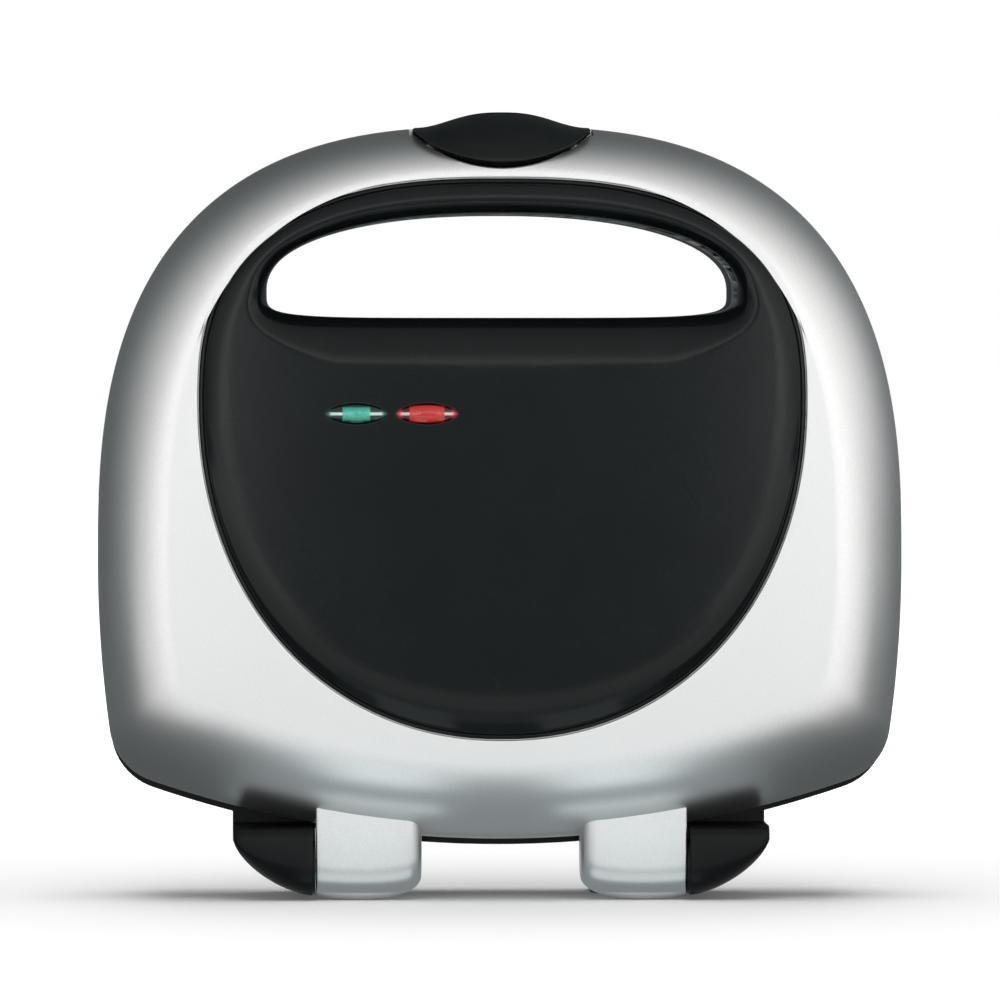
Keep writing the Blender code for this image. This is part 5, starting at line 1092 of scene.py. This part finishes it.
def screwNodes():
    group = bpy.data.node_groups.new("screwSet", "GeometryNodeTree")
    inputs = (("Places", "NodeSocketGeometry"), ("Head", "NodeSocketObject"), ("Shank", "NodeSocketObject"),
              ("Spin Seed", "NodeSocketInt"), ("Finish", "NodeSocketMaterial"))
    for title, kind in inputs:
        group.interface.new_socket(title, in_out="INPUT", socket_type=kind)
    group.interface.new_socket("Screws", in_out="OUTPUT", socket_type="NodeSocketGeometry")
    start = addNode(group, "NodeGroupInput")

    def live(node, title):
        # the output of that name that the node's data type leaves on
        return next(socket for socket in node.outputs if socket.name == title and socket.enabled)

    way, lengthShare = (live(addNode(group, "GeometryNodeInputNamedAttribute",
                                     {"data_type": "FLOAT", "Name": title}), "Attribute")
                        for title in ("way", "lengthShare"))
    tilt = addNode(group, "ShaderNodeMath", {"operation": "MULTIPLY", 1: -math.pi / 2}, {0: way})
    spin = addNode(group, "FunctionNodeRandomValue", {"data_type": "FLOAT"},
                   {"Seed": start.outputs["Spin Seed"]})
    angle = addNode(group, "ShaderNodeMath", {"operation": "MULTIPLY", 1: 2 * math.pi},
                    {0: live(spin, "Value")})
    turned = addNode(group, "ShaderNodeCombineXYZ", {}, {"X": tilt.outputs[0], "Y": angle.outputs[0]})
    stretched = addNode(group, "ShaderNodeCombineXYZ", {"X": 1.0, "Y": 1.0}, {"Z": lengthShare})
    joined = addNode(group, "GeometryNodeJoinGeometry")
    for title, scale in (("Head", None), ("Shank", stretched.outputs[0])):
        source = addNode(group, "GeometryNodeObjectInfo", {"As Instance": True},
                         {"Object": start.outputs[title]})
        links = {"Points": start.outputs["Places"], "Instance": source.outputs["Geometry"],
                 "Rotation": turned.outputs[0]}
        if scale:
            links["Scale"] = scale
        placed = addNode(group, "GeometryNodeInstanceOnPoints", {}, links)
        group.links.new(placed.outputs["Instances"], joined.inputs[0])
    real = addNode(group, "GeometryNodeRealizeInstances", {}, {"Geometry": joined.outputs[0]})
    painted = addNode(group, "GeometryNodeSetMaterial", {}, {"Geometry": real.outputs[0],
                                                             "Material": start.outputs["Finish"]})
    addNode(group, "NodeGroupOutput", {}, {"Screws": painted.outputs[0]})
    return group


def screwSet(name, places, finish):
    # places: (x, y, z, way of the head, length); y is the underside of the head
    shape = bmesh.new()
    ways, shares = (shape.verts.layers.float.new(title) for title in ("way", "lengthShare"))
    for x, y, z, way, length in places:
        vert = shape.verts.new((x, y, z))
        vert[ways], vert[shares] = way, length / screw["length"]
    mesh = bpy.data.meshes.new(name)
    shape.to_mesh(mesh)
    shape.free()
    made = bpy.data.objects.new(name, mesh)
    bpy.context.scene.collection.objects.link(made)
    head, shank = screwHead(), screwShank()
    values = {"Head": head, "Shank": shank, "Spin Seed": screw["spinSeed"], "Finish": finish}
    step = made.modifiers.new("screws", "NODES")
    step.node_group = screwNodes()
    for item in step.node_group.interface.items_tree:
        if item.in_out == "INPUT" and item.name in values:
            step[item.identifier] = values[item.name]
    graph = bpy.context.evaluated_depsgraph_get()
    real = bpy.data.meshes.new_from_object(made.evaluated_get(graph))
    made.modifiers.clear()
    made.data = real
    for tool in (head, shank):
        bpy.data.objects.remove(tool, do_unlink=True)
    return reshade(made)


# Finishes

def grey(value):
    return (value, value, value, 1.0)


def millimetres(size):
    # scale of a noise whose features are that many millimetres across
    return 1000.0 / size


def surface(name, look):
    # a finish from one description: colour range, roughness range, and two sizes of relief
    made, tree, out, place = newMaterial(name)
    mottle = addNode(tree, "ShaderNodeTexNoise", {"Scale": millimetres(look["mottleSize"]), "Detail": 4.0,
                                                  "Roughness": 0.6}, {"Vector": place})
    colours = addNode(tree, "ShaderNodeValToRGB", {"ramp": [(0.3, fromHex(look["dark"])),
                                                            (0.7, fromHex(look["light"]))]},
                      {"Fac": mottle.outputs["Fac"]})
    fine = addNode(tree, "ShaderNodeTexNoise", {"Scale": millimetres(look["grainSize"]), "Detail": 3.0},
                   {"Vector": place})
    rough = addNode(tree, "ShaderNodeMapRange", {"From Min": 0.3, "From Max": 0.7,
                                                 "To Min": look["smooth"], "To Max": look["rough"]},
                    {"Value": fine.outputs["Fac"]})
    wave = addNode(tree, "ShaderNodeTexNoise", {"Scale": millimetres(look["waveSize"]), "Detail": 1.0},
                   {"Vector": place})
    waves = addNode(tree, "ShaderNodeBump", {"Strength": 1.0, "Distance": look["waveHeight"]},
                    {"Height": wave.outputs["Fac"]})
    grains = addNode(tree, "ShaderNodeBump", {"Strength": 1.0, "Distance": look["grainHeight"]},
                     {"Height": fine.outputs["Fac"], "Normal": waves.outputs["Normal"]})
    shader = addNode(tree, "ShaderNodeBsdfPrincipled", look.get("shader", {}),
                     {"Base Color": colours.outputs["Color"], "Roughness": rough.outputs["Result"],
                      "Normal": grains.outputs["Normal"]})
    finishMaterial(tree, out, shader)
    return made


# ABS sprayed with aluminium-flake lacquer: a broad soft metal sheen with a fine sparkle, its flakes
# drawn far coarser than real so that they show
silverLacquer = surface("silverLacquer", {
    "dark": "#d3d3d2", "light": "#dddddc", "mottleSize": 0.5, "smooth": 0.37, "rough": 0.43,
    "grainSize": 0.30, "grainHeight": 0.000004, "waveSize": 2.2, "waveHeight": 0.000010,
    "shader": {"Metallic": 1.0}})
# ABS moulded in a polished tool: near-black with a sharp gloss and slow waves over it
glossBlackAbs = surface("glossBlackAbs", {
    "dark": "#0c1011", "light": "#101516", "mottleSize": 30.0, "smooth": 0.12, "rough": 0.17,
    "grainSize": 0.8, "grainHeight": 0.0000006, "waveSize": 28.0, "waveHeight": 0.00004,
    "shader": {"IOR": 1.53, "Specular IOR Level": 0.20}})
# ABS moulded in a spark-eroded tool: an even satin grain that spreads the light, drawn coarser than real
satinBlackAbs = surface("satinBlackAbs", {
    "dark": "#080a0b", "light": "#0d1011", "mottleSize": 12.0, "smooth": 0.32, "rough": 0.42,
    "grainSize": 0.35, "grainHeight": 0.000008, "waveSize": 20.0, "waveHeight": 0.00002,
    "shader": {"IOR": 1.53, "Specular IOR Level": 0.16}})
# ABS of the latch, moulded glossy and worn smooth by fingers: only its edges catch light
latchAbs = surface("latchAbs", {
    "dark": "#0c0f10", "light": "#111516", "mottleSize": 8.0, "smooth": 0.15, "rough": 0.21,
    "grainSize": 0.5, "grainHeight": 0.0000008, "waveSize": 12.0, "waveHeight": 0.00001,
    "shader": {"IOR": 1.53, "Specular IOR Level": 0.16}})
# Die-cast aluminium with a sprayed and baked PTFE coat: dark, slightly speckled, silky
nonStickCoat = surface("nonStickCoat", {
    "dark": "#1c1c1d", "light": "#2a2a2b", "mottleSize": 0.7, "smooth": 0.36, "rough": 0.5,
    "grainSize": 0.6, "grainHeight": 0.000012, "waveSize": 6.0, "waveHeight": 0.00003,
    "shader": {"IOR": 1.4}})
# Aluminised steel sheet, rolled: dull grey metal with a faint spangle
aluminisedSheet = surface("aluminisedSheet", {
    "dark": "#b4b5b4", "light": "#cfd0cf", "mottleSize": 4.0, "smooth": 0.3, "rough": 0.45,
    "grainSize": 1.2, "grainHeight": 0.000006, "waveSize": 15.0, "waveHeight": 0.00003,
    "shader": {"Metallic": 1.0}})
# Zinc-plated steel, turned and rolled: bright, slightly bluish and uneven metal
zincSteel = surface("zincSteel", {
    "dark": "#b9bcc0", "light": "#d3d6d9", "mottleSize": 1.0, "smooth": 0.2, "rough": 0.32,
    "grainSize": 0.25, "grainHeight": 0.000003, "waveSize": 3.0, "waveHeight": 0.000004,
    "shader": {"Metallic": 1.0}})
# Heater tube of drawn stainless steel, browned in patches by heat
heaterSteel = surface("heaterSteel", {
    "dark": "#6f6860", "light": "#9a938a", "mottleSize": 9.0, "smooth": 0.35, "rough": 0.5,
    "grainSize": 0.4, "grainHeight": 0.000004, "waveSize": 5.0, "waveHeight": 0.00001,
    "shader": {"Metallic": 1.0}})
# Pressed and fired steatite: chalky off-white with a dry, even surface
steatite = surface("steatite", {
    "dark": "#dcd8cc", "light": "#e9e6dc", "mottleSize": 2.0, "smooth": 0.5, "rough": 0.65,
    "grainSize": 0.3, "grainHeight": 0.00001, "waveSize": 4.0, "waveHeight": 0.00001})
# Moulded nitrile rubber: matt, a little dusty in the grain
nitrileRubber = surface("nitrileRubber", {
    "dark": "#17181a", "light": "#222426", "mottleSize": 3.0, "smooth": 0.65, "rough": 0.8,
    "grainSize": 0.3, "grainHeight": 0.00001, "waveSize": 4.0, "waveHeight": 0.00001})
# Blown glass of the glow lamp: smooth, half clear, tinted amber by its glow
lampGlass = surface("lampGlass", {
    "dark": "#e6b98a", "light": "#efc79c", "mottleSize": 3.0, "smooth": 0.03, "rough": 0.08,
    "grainSize": 1.0, "grainHeight": 0.000001, "waveSize": 3.0, "waveHeight": 0.00001,
    "shader": {"IOR": 1.5, "Transmission Weight": 0.6}})


# Polycarbonate lenses: a frosted light guide behind the middle with a painted glow that pales towards its
# mid height, and a painted highlight streak (the "rib" colour) running into each clear end
lensInside = {
    "frostSize": 1.1, "glowReach": 1.15, "guideSoft": 0.0002, "tip": (0.0072, 0.0088),
    "highlightUp": (0.0002, 0.0007), "highlightAcross": (0.0078, 0.0090),
}


def lensFinish(name, look):
    made, tree, out, place = newMaterial(name)
    centred = addNode(tree, "ShaderNodeMapping", {"Location": (-look["x"], 0.0, -lens["z"])},
                      {"Vector": place})
    axes = addNode(tree, "ShaderNodeSeparateXYZ", {}, {"Vector": centred.outputs["Vector"]})
    away = {axis: addNode(tree, "ShaderNodeMath", {"operation": "ABSOLUTE"}, {0: axes.outputs[axis]})
            for axis in "XZ"}
    (half, high), soft = look["guide"], lensInside["guideSoft"]
    # each mask is 1 up to its first distance from the middle and 0 from its second on
    reaches = {
        "shade": ("Z", 0.0, high * lensInside["glowReach"]), "tip": ("X", *lensInside["tip"]),
        "highlightUp": ("Z", *lensInside["highlightUp"]), "highlightAcross": ("X", *lensInside["highlightAcross"]),
        "guideAcross": ("X", half - soft, half + soft), "guideUp": ("Z", high - soft, high + 2 * soft)}
    masks = {}
    for title, (axis, start, stop) in reaches.items():
        faded = addNode(tree, "ShaderNodeMapRange", {"interpolation_type": "SMOOTHSTEP", "From Min": start,
                                                     "From Max": stop, "To Min": 1.0, "To Max": 0.0},
                        {"Value": away[axis].outputs[0]})
        masks[title] = faded.outputs["Result"]
    frost = addNode(tree, "ShaderNodeTexNoise", {"Scale": millimetres(lensInside["frostSize"]),
                                                 "Detail": 3.0}, {"Vector": place})
    masks["frost"] = frost.outputs["Fac"]
    # glow: the light guide's painted glow, paler where the frost is high and towards mid height; rib: a
    # painted highlight streak along the middle of each clear end; guide: the light guide's box
    for title, first, second in (("glow", "frost", "shade"), ("rib", "highlightUp", "highlightAcross"),
                                 ("guide", "guideAcross", "guideUp")):
        crossed = addNode(tree, "ShaderNodeMath", {"operation": "MULTIPLY"},
                          {0: masks[first], 1: masks[second]})
        masks[title] = crossed.outputs[0]
    glow = addNode(tree, "ShaderNodeMix", {"data_type": "RGBA", 6: fromHex(look["bright"]),
                                           7: fromHex(look["pale"])}, {0: masks["glow"]})
    clear = addNode(tree, "ShaderNodeMix", {"data_type": "RGBA", 6: fromHex(look["tip"]),
                                            7: fromHex(look["dark"])}, {0: masks["tip"]})
    # the clear ends, with their painted highlight streak laid over them
    ends = addNode(tree, "ShaderNodeMix", {"data_type": "RGBA", 7: fromHex(look["rib"])},
                   {0: masks["rib"], 6: clear.outputs[2]})
    colour = addNode(tree, "ShaderNodeMix", {"data_type": "RGBA"},
                     {0: masks["guide"], 6: ends.outputs[2], 7: glow.outputs[2]})
    shader = addNode(tree, "ShaderNodeBsdfPrincipled", {"Roughness": 0.07, "IOR": 1.58},
                     {"Base Color": colour.outputs[2]})
    finishMaterial(tree, out, shader)
    return made


# bright is the light guide's own colour, pale its painted glow, rib the colour of the painted highlight
# streaks
greenLens = lensFinish("greenLens", {
    "x": lens["readyX"], "guide": (0.0044, 0.0020), "bright": "#17987e", "pale": "#6fe3cd",
    "dark": "#02211c", "tip": "#0b4a40", "rib": "#c9efe6"})
redLens = lensFinish("redLens", {
    "x": lens["powerX"], "guide": (0.0056, 0.0026), "bright": "#b50b09", "pale": "#e2483d",
    "dark": "#3c0306", "tip": "#c0343f", "rib": "#f3c9cb"})


# Pieces
print("lid")
settle(lidShell(), "lid", "silver_paint", silverLacquer, "lid_shell")
panelPiece = lidPanel()
for lensX in (lens["readyX"], lens["powerX"]):
    hole = prism("lensHole", lensLoop(lensX, lens["holeGap"]), *lens["holeYs"])
    combine(panelPiece, "DIFFERENCE", hole)
settle(reshade(panelPiece, smoothAngle=40.0), "lid", "black_gloss_plastic", glossBlackAbs, "lid_panel")
settle(lensPiece("readyLens", lens["readyX"]), "lid", "green_lens", greenLens, "ready_lens")
settle(lensPiece("powerLens", lens["powerX"]), "lid", "red_lens", redLens, "power_lens")
settle(latchPiece(), "latch", "black_satin_plastic", latchAbs, "latch")
print("base")
settle(baseShell(), "base", "black_satin_plastic", satinBlackAbs, "base_shell")
for number, place in enumerate(feet["places"]):
    settle(footPiece(f"foot{number + 1}", place), "base", "rubber", nitrileRubber, f"foot_{number + 1}")
settle(glandPiece(), "base", "rubber", nitrileRubber, "cord_gland")

print("bezels and plates")
settle(bezelPiece("lidBezel", lid, lidWay), "lid", "black_satin_plastic", satinBlackAbs, "lid_bezel")
settle(bezelPiece("baseBezel", base, baseWay), "base", "black_satin_plastic", satinBlackAbs, "base_bezel")
settle(cookingPlate("upperPlate", lidWay), "lid", "nonstick_coating", nonStickCoat, "upper_plate")
settle(cookingPlate("lowerPlate", baseWay), "base", "nonstick_coating", nonStickCoat, "lower_plate")
print("screws")
trayY, fit = plate["trayY"], body["fit"]
lidScrews = [(x, bezel["lidScrewY"] + fit, z, 1.0, screw["length"]) for x, z in screwPlaces["case"]]
lidScrews += [(x, -trayY - fit, z, -1.0, screw["plateLength"]) for x, z in screwPlaces["plate"]]
settle(screwSet("lidScrews", lidScrews, zincSteel), "lid", "steel", zincSteel,
       *(f"lid_screw_{i}" for i in range(1, 5)), "upper_plate_screw_1", "upper_plate_screw_2")
baseScrews = [(x, bezel["baseScrewY"] + fit, z, 1.0, screw["length"]) for x, z in screwPlaces["case"]]
baseScrews += [(x, trayY + fit, z, 1.0, screw["plateLength"]) for x, z in screwPlaces["plate"]]
baseScrews += [(x, screw["clampY"], z, -1.0, screw["clampLength"]) for x, z in screwPlaces["clamp"]]
settle(screwSet("baseScrews", baseScrews, zincSteel), "base", "steel", zincSteel,
       *(f"base_screw_{i}" for i in range(1, 5)), "lower_plate_screw_1", "lower_plate_screw_2",
       "clamp_screw_left", "clamp_screw_right")

# the CAD nodes that no piece stands for keep their own meshes
keptNodes = {
    "black_satin_plastic": satinBlackAbs, "nonstick_coating": nonStickCoat, "steel_sheet": aluminisedSheet,
    "steel": zincSteel, "ceramic": steatite, "rubber": nitrileRubber, "lamp_glass": lampGlass,
    "silver_paint": silverLacquer, "black_gloss_plastic": glossBlackAbs, "green_lens": greenLens,
    "red_lens": redLens,
}
for nodeName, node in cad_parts.items():
    finish = node.material_slots[0].material.name.split(".")[0] if node.material_slots else "steel"
    chosen = heaterSteel if nodeName.endswith("_element") else keptNodes.get(finish, zincSteel)
    for slot in node.material_slots:
        slot.material = chosen


# Studio: a pale floor, lamps for the plain light, and a light tent with dark table cards that only
# reflections see, as a photographer sets round glossy and metal things
studio = {
    "centre": (0.0, 0.0, 0.13), "coolGrey": (0.86, 0.965, 1.0, 1.0), "floorSize": 14.0,
    "floorLift": 0.06, "liftReach": (0.35, 1.2), "fill": 0.36, "clothRange": (0.9, 1.1),
    "boxes": [
        {"at": (-1.5, -2.2, 0.9), "size": (1.2, 1.4), "power": 5.0},
        {"at": (1.5, -2.2, 0.9), "size": (1.2, 1.4), "power": 5.0},
        {"at": (0.0, 0.05, 1.6), "size": (1.5, 3.0), "power": 30.0}],
    "cards": [
        {"name": "lensCard", "at": (0.035, -1.25, 0.155), "size": (0.31, 0.37), "shade": 0.62},
        {"name": "lensLane", "at": (0.03, -0.90, 0.002), "size": (0.28, 0.70), "shade": 0.50},
        {"name": "tableFront", "at": (0.0, -0.19, 0.002), "size": (0.20, 0.10), "shade": 0.70},
        {"name": "tableUnder", "at": (0.0, -0.07, 0.0025), "size": (0.19, 0.14), "shade": 0.33},
        {"name": "knuckleFrontLeft", "at": (-0.043, -0.13, 0.004), "size": (0.044, 0.12), "shade": 1.30},
        {"name": "knuckleFrontRight", "at": (0.043, -0.13, 0.004), "size": (0.044, 0.12), "shade": 1.30},
        {"name": "knuckleUnderLeft", "at": (-0.043, -0.040, 0.004), "size": (0.044, 0.012), "shade": 0.9},
        {"name": "knuckleUnderRight", "at": (0.043, -0.040, 0.004), "size": (0.044, 0.012), "shade": 0.9},
        {"name": "tableNearLeft", "at": (-0.51, 0.07, 0.002), "size": (0.87, 0.48), "shade": 0.12},
        {"name": "tableNearRight", "at": (0.51, 0.07, 0.002), "size": (0.87, 0.48), "shade": 0.12},
        {"name": "tableFarLeft", "at": (-2.30, -0.65, 0.002), "size": (2.7, 1.9), "shade": 0.27},
        {"name": "tableFarRight", "at": (2.30, -0.45, 0.002), "size": (2.7, 1.5), "shade": 0.32},
        {"name": "tableBehind", "at": (0.0, 2.05, 0.002), "size": (7.4, 3.46), "shade": 0.13}],
    "tent": {
        "radius": 3.8, "sunk": 0.03, "rings": 12, "segments": 32, "rightGain": 0.34, "rightStretch": 0.14,
        "brightest": 3.0,
        # by height on the dome: how much darker it is over the set, and how much brighter at its flanks
        "dip": [(0.0, 0.0), (0.12, 0.16), (0.27, 0.40), (0.42, 0.48), (0.70, 0.28), (1.0, 0.22)],
        "flank": [(0.0, 0.05), (0.12, 0.40), (0.27, 0.90), (0.49, 0.64), (0.70, 0.20), (1.0, 0.10)],
        # brightness by the angle in degrees from the lens hole
        "cloth": [(0.0, 3.0), (12.0, 2.60), (22.0, 1.62), (36.0, 1.14), (56.0, 0.82), (74.0, 0.58),
                  (92.0, 0.36), (114.0, 0.19), (132.0, 0.14), (180.0, 0.14)]},
}


def rayMask(tree):
    # 1 for what the camera, metal and glass see, 0 for the light that falls on the object
    path = addNode(tree, "ShaderNodeLightPath")
    first = addNode(tree, "ShaderNodeMath", {"operation": "MAXIMUM"}, {0: path.outputs["Is Camera Ray"],
                                                                       1: path.outputs["Is Glossy Ray"]})
    return addNode(tree, "ShaderNodeMath", {"operation": "MAXIMUM"},
                   {0: first.outputs[0], 1: path.outputs["Is Transmission Ray"]}).outputs[0]


def makeWorld():
    world = bpy.data.worlds.new("studioWorld")
    bpy.context.scene.world = world
    world.use_nodes = True
    tree = world.node_tree
    tree.nodes.clear()
    level = addNode(tree, "ShaderNodeMapRange", {"To Min": studio["fill"], "To Max": 1.0},
                    {"Value": rayMask(tree)})
    light = addNode(tree, "ShaderNodeBackground", {"Color": grey(1.0)},
                    {"Strength": level.outputs["Result"]})
    addNode(tree, "ShaderNodeOutputWorld", {}, {"Surface": light.outputs[0]})


def flatCard(name, at, size, towards):
    # a rectangle facing a point, or straight up where it lies on the floor
    at, facing = Vector(at), (Vector(towards) - Vector(at)).normalized()
    across = facing.cross(Vector((0.0, 0.0, 1.0)))
    across = across.normalized() if across.length > 0.01 else Vector((1.0, 0.0, 0.0))
    up = across.cross(facing).normalized()
    shape = bmesh.new()
    shape.faces.new([shape.verts.new(at + across * size[0] / 2 * a + up * size[1] / 2 * b)
                     for a, b in ((-1, -1), (1, -1), (1, 1), (-1, 1))])
    made = meshObject(name, shape, closed=False)
    return made


def makeFloor():
    made = flatCard("studioFloor", (0.0, 0.0, 0.0), (studio["floorSize"],) * 2, (0.0, 0.0, 1.0))
    paper, tree, out, place = newMaterial("floorPaper")
    fibre = addNode(tree, "ShaderNodeTexNoise", {"Scale": millimetres(3.0)}, {"Vector": place})
    tone = addNode(tree, "ShaderNodeValToRGB", {"ramp": [(0.0, fromHex("#f1f1f1")),
                                                         (1.0, fromHex("#f6f6f6"))]},
                   {"Fac": fibre.outputs["Fac"]})
    matt = addNode(tree, "ShaderNodeBsdfDiffuse", {}, {"Color": tone.outputs["Color"]})
    # the paper brightens to white away from the object, for the camera and for reflections alone
    away = addNode(tree, "ShaderNodeVectorMath", {"operation": "LENGTH"}, {0: place})
    near, far = studio["liftReach"]
    fade = addNode(tree, "ShaderNodeMapRange", {"From Min": near, "From Max": far,
                                                "To Min": studio["floorLift"], "To Max": 1.0},
                   {"Value": away.outputs["Value"]})
    lift = addNode(tree, "ShaderNodeMath", {"operation": "MULTIPLY"},
                   {0: rayMask(tree), 1: fade.outputs["Result"]})
    glow = addNode(tree, "ShaderNodeEmission", {"Color": grey(1.0)}, {"Strength": lift.outputs[0]})
    both = addNode(tree, "ShaderNodeAddShader", {}, {0: matt.outputs[0], 1: glow.outputs[0]})
    finishMaterial(tree, out, both)
    made.data.materials.append(paper)


def hideFromLight(made):
    made.visible_camera = made.visible_shadow = made.visible_diffuse = False


def makeCard(card):
    lying = card["at"][2] < 0.01
    target = (card["at"][0], card["at"][1], 1.0) if lying else studio["centre"]
    made = flatCard(card["name"], card["at"], card["size"], target)
    cloth, tree, out, place = newMaterial(card["name"] + "Cloth")
    weave = addNode(tree, "ShaderNodeTexNoise", {"Scale": 2.0, "Detail": 1.0}, {"Vector": place})
    dark, bright = studio["clothRange"]
    shade = addNode(tree, "ShaderNodeMapRange", {"To Min": card["shade"] * dark,
                                                 "To Max": card["shade"] * bright},
                    {"Value": weave.outputs["Fac"]})
    glow = addNode(tree, "ShaderNodeEmission", {"Color": studio["coolGrey"]},
                   {"Strength": shade.outputs["Result"]})
    finishMaterial(tree, out, glow)
    made.data.materials.append(cloth)
    hideFromLight(made)


def makeTent(tent):
    # a dome of cloth round the set: bright round the lens hole, darker overhead, dark behind
    centre, radius, shape, rows = Vector(studio["centre"]), tent["radius"], bmesh.new(), []
    for i in range(tent["rings"]):
        rise, row = math.pi / 2 * i / tent["rings"], []
        for k in range(tent["segments"]):
            turn = 2 * math.pi * k / tent["segments"]
            way = Vector((math.cos(rise) * math.cos(turn), math.cos(rise) * math.sin(turn),
                          math.sin(rise) - tent["sunk"]))
            row.append(shape.verts.new(centre + radius * way))
        rows.append(row)
    crown = shape.verts.new(centre + Vector((0.0, 0.0, radius)))
    for i in range(tent["segments"]):
        k = (i + 1) % tent["segments"]
        for low, high in zip(rows, rows[1:]):
            shape.faces.new((low[i], low[k], high[k], high[i]))
        shape.faces.new((rows[-1][i], rows[-1][k], crown))
    made = meshObject("lightTent", shape, closed=False)
    cloth, tree, out, place = newMaterial("tentCloth")
    fromCentre = addNode(tree, "ShaderNodeVectorMath", {"operation": "SUBTRACT", 1: studio["centre"]},
                         {0: place})
    unit = addNode(tree, "ShaderNodeVectorMath", {"operation": "NORMALIZE"}, {0: fromCentre.outputs[0]})
    axes = addNode(tree, "ShaderNodeSeparateXYZ", {}, {0: unit.outputs[0]})
    towardsLens = addNode(tree, "ShaderNodeMath", {"operation": "MULTIPLY", 1: -1.0},
                          {0: axes.outputs["Y"]})
    angle = addNode(tree, "ShaderNodeMath", {"operation": "ARCCOSINE"}, {0: towardsLens.outputs[0]})
    right = addNode(tree, "ShaderNodeMath", {"operation": "MAXIMUM", 1: 0.0}, {0: axes.outputs["X"]})
    stretch = addNode(tree, "ShaderNodeMath", {"operation": "MULTIPLY_ADD", 1: -tent["rightStretch"],
                                               2: 1.0}, {0: right.outputs[0]})
    drawn = addNode(tree, "ShaderNodeMath", {"operation": "MULTIPLY"},
                    {0: angle.outputs[0], 1: stretch.outputs[0]})
    share = addNode(tree, "ShaderNodeMath", {"operation": "DIVIDE", 1: math.pi}, {0: drawn.outputs[0]})
    # a ramp holds no more than 1, so that it is read as a share of the brightest cloth
    level = addNode(tree, "ShaderNodeValToRGB", {"ramp": [(degrees / 180.0, grey(value / tent["brightest"]))
                                                          for degrees, value in tent["cloth"]]},
                    {"Fac": share.outputs[0]})
    gain = addNode(tree, "ShaderNodeMath", {"operation": "MULTIPLY_ADD", 1: tent["rightGain"], 2: 1.0},
                   {0: axes.outputs["X"]})
    dip, flank = (addNode(tree, "ShaderNodeValToRGB",
                          {"ramp": [(height, grey(value)) for height, value in tent[name]]},
                          {"Fac": axes.outputs["Z"]}) for name in ("dip", "flank"))
    sideways = addNode(tree, "ShaderNodeMath", {"operation": "ABSOLUTE"}, {0: axes.outputs["X"]})
    lifted = addNode(tree, "ShaderNodeMath", {"operation": "MULTIPLY_ADD"},
                     {0: flank.outputs["Color"], 1: sideways.outputs[0], 2: gain.outputs[0]})
    shaped = addNode(tree, "ShaderNodeMath", {"operation": "SUBTRACT"},
                     {0: lifted.outputs[0], 1: dip.outputs["Color"]})
    strength = addNode(tree, "ShaderNodeMath", {"operation": "MULTIPLY"},
                       {0: level.outputs["Color"], 1: shaped.outputs[0]})
    full = addNode(tree, "ShaderNodeMath", {"operation": "MULTIPLY", 1: tent["brightest"]},
                   {0: strength.outputs[0]})
    tint = addNode(tree, "ShaderNodeValToRGB", {"ramp": [(0.10, studio["coolGrey"]), (0.7, grey(1.0))]},
                   {"Fac": full.outputs[0]})
    glow = addNode(tree, "ShaderNodeEmission", {}, {"Color": tint.outputs["Color"],
                                                    "Strength": full.outputs[0]})
    finishMaterial(tree, out, glow)
    made.data.materials.append(cloth)
    hideFromLight(made)


def makeBox(number, box):
    data = bpy.data.lights.new(f"softBox{number}", "AREA")
    data.shape = "RECTANGLE"
    data.size, data.size_y = box["size"]
    data.energy = box["power"]
    made = bpy.data.objects.new(f"softBox{number}", data)
    made.location = box["at"]
    made.rotation_euler = (Vector(studio["centre"]) - Vector(box["at"])).to_track_quat("-Z", "Y").to_euler()
    made.visible_glossy = False
    bpy.context.scene.collection.objects.link(made)


print("studio")
makeWorld()
makeFloor()
for number, box in enumerate(studio["boxes"]):
    makeBox(number + 1, box)
makeTent(studio["tent"])
for card in studio["cards"]:
    makeCard(card)
bpy.context.scene.view_settings.view_transform = "Standard"
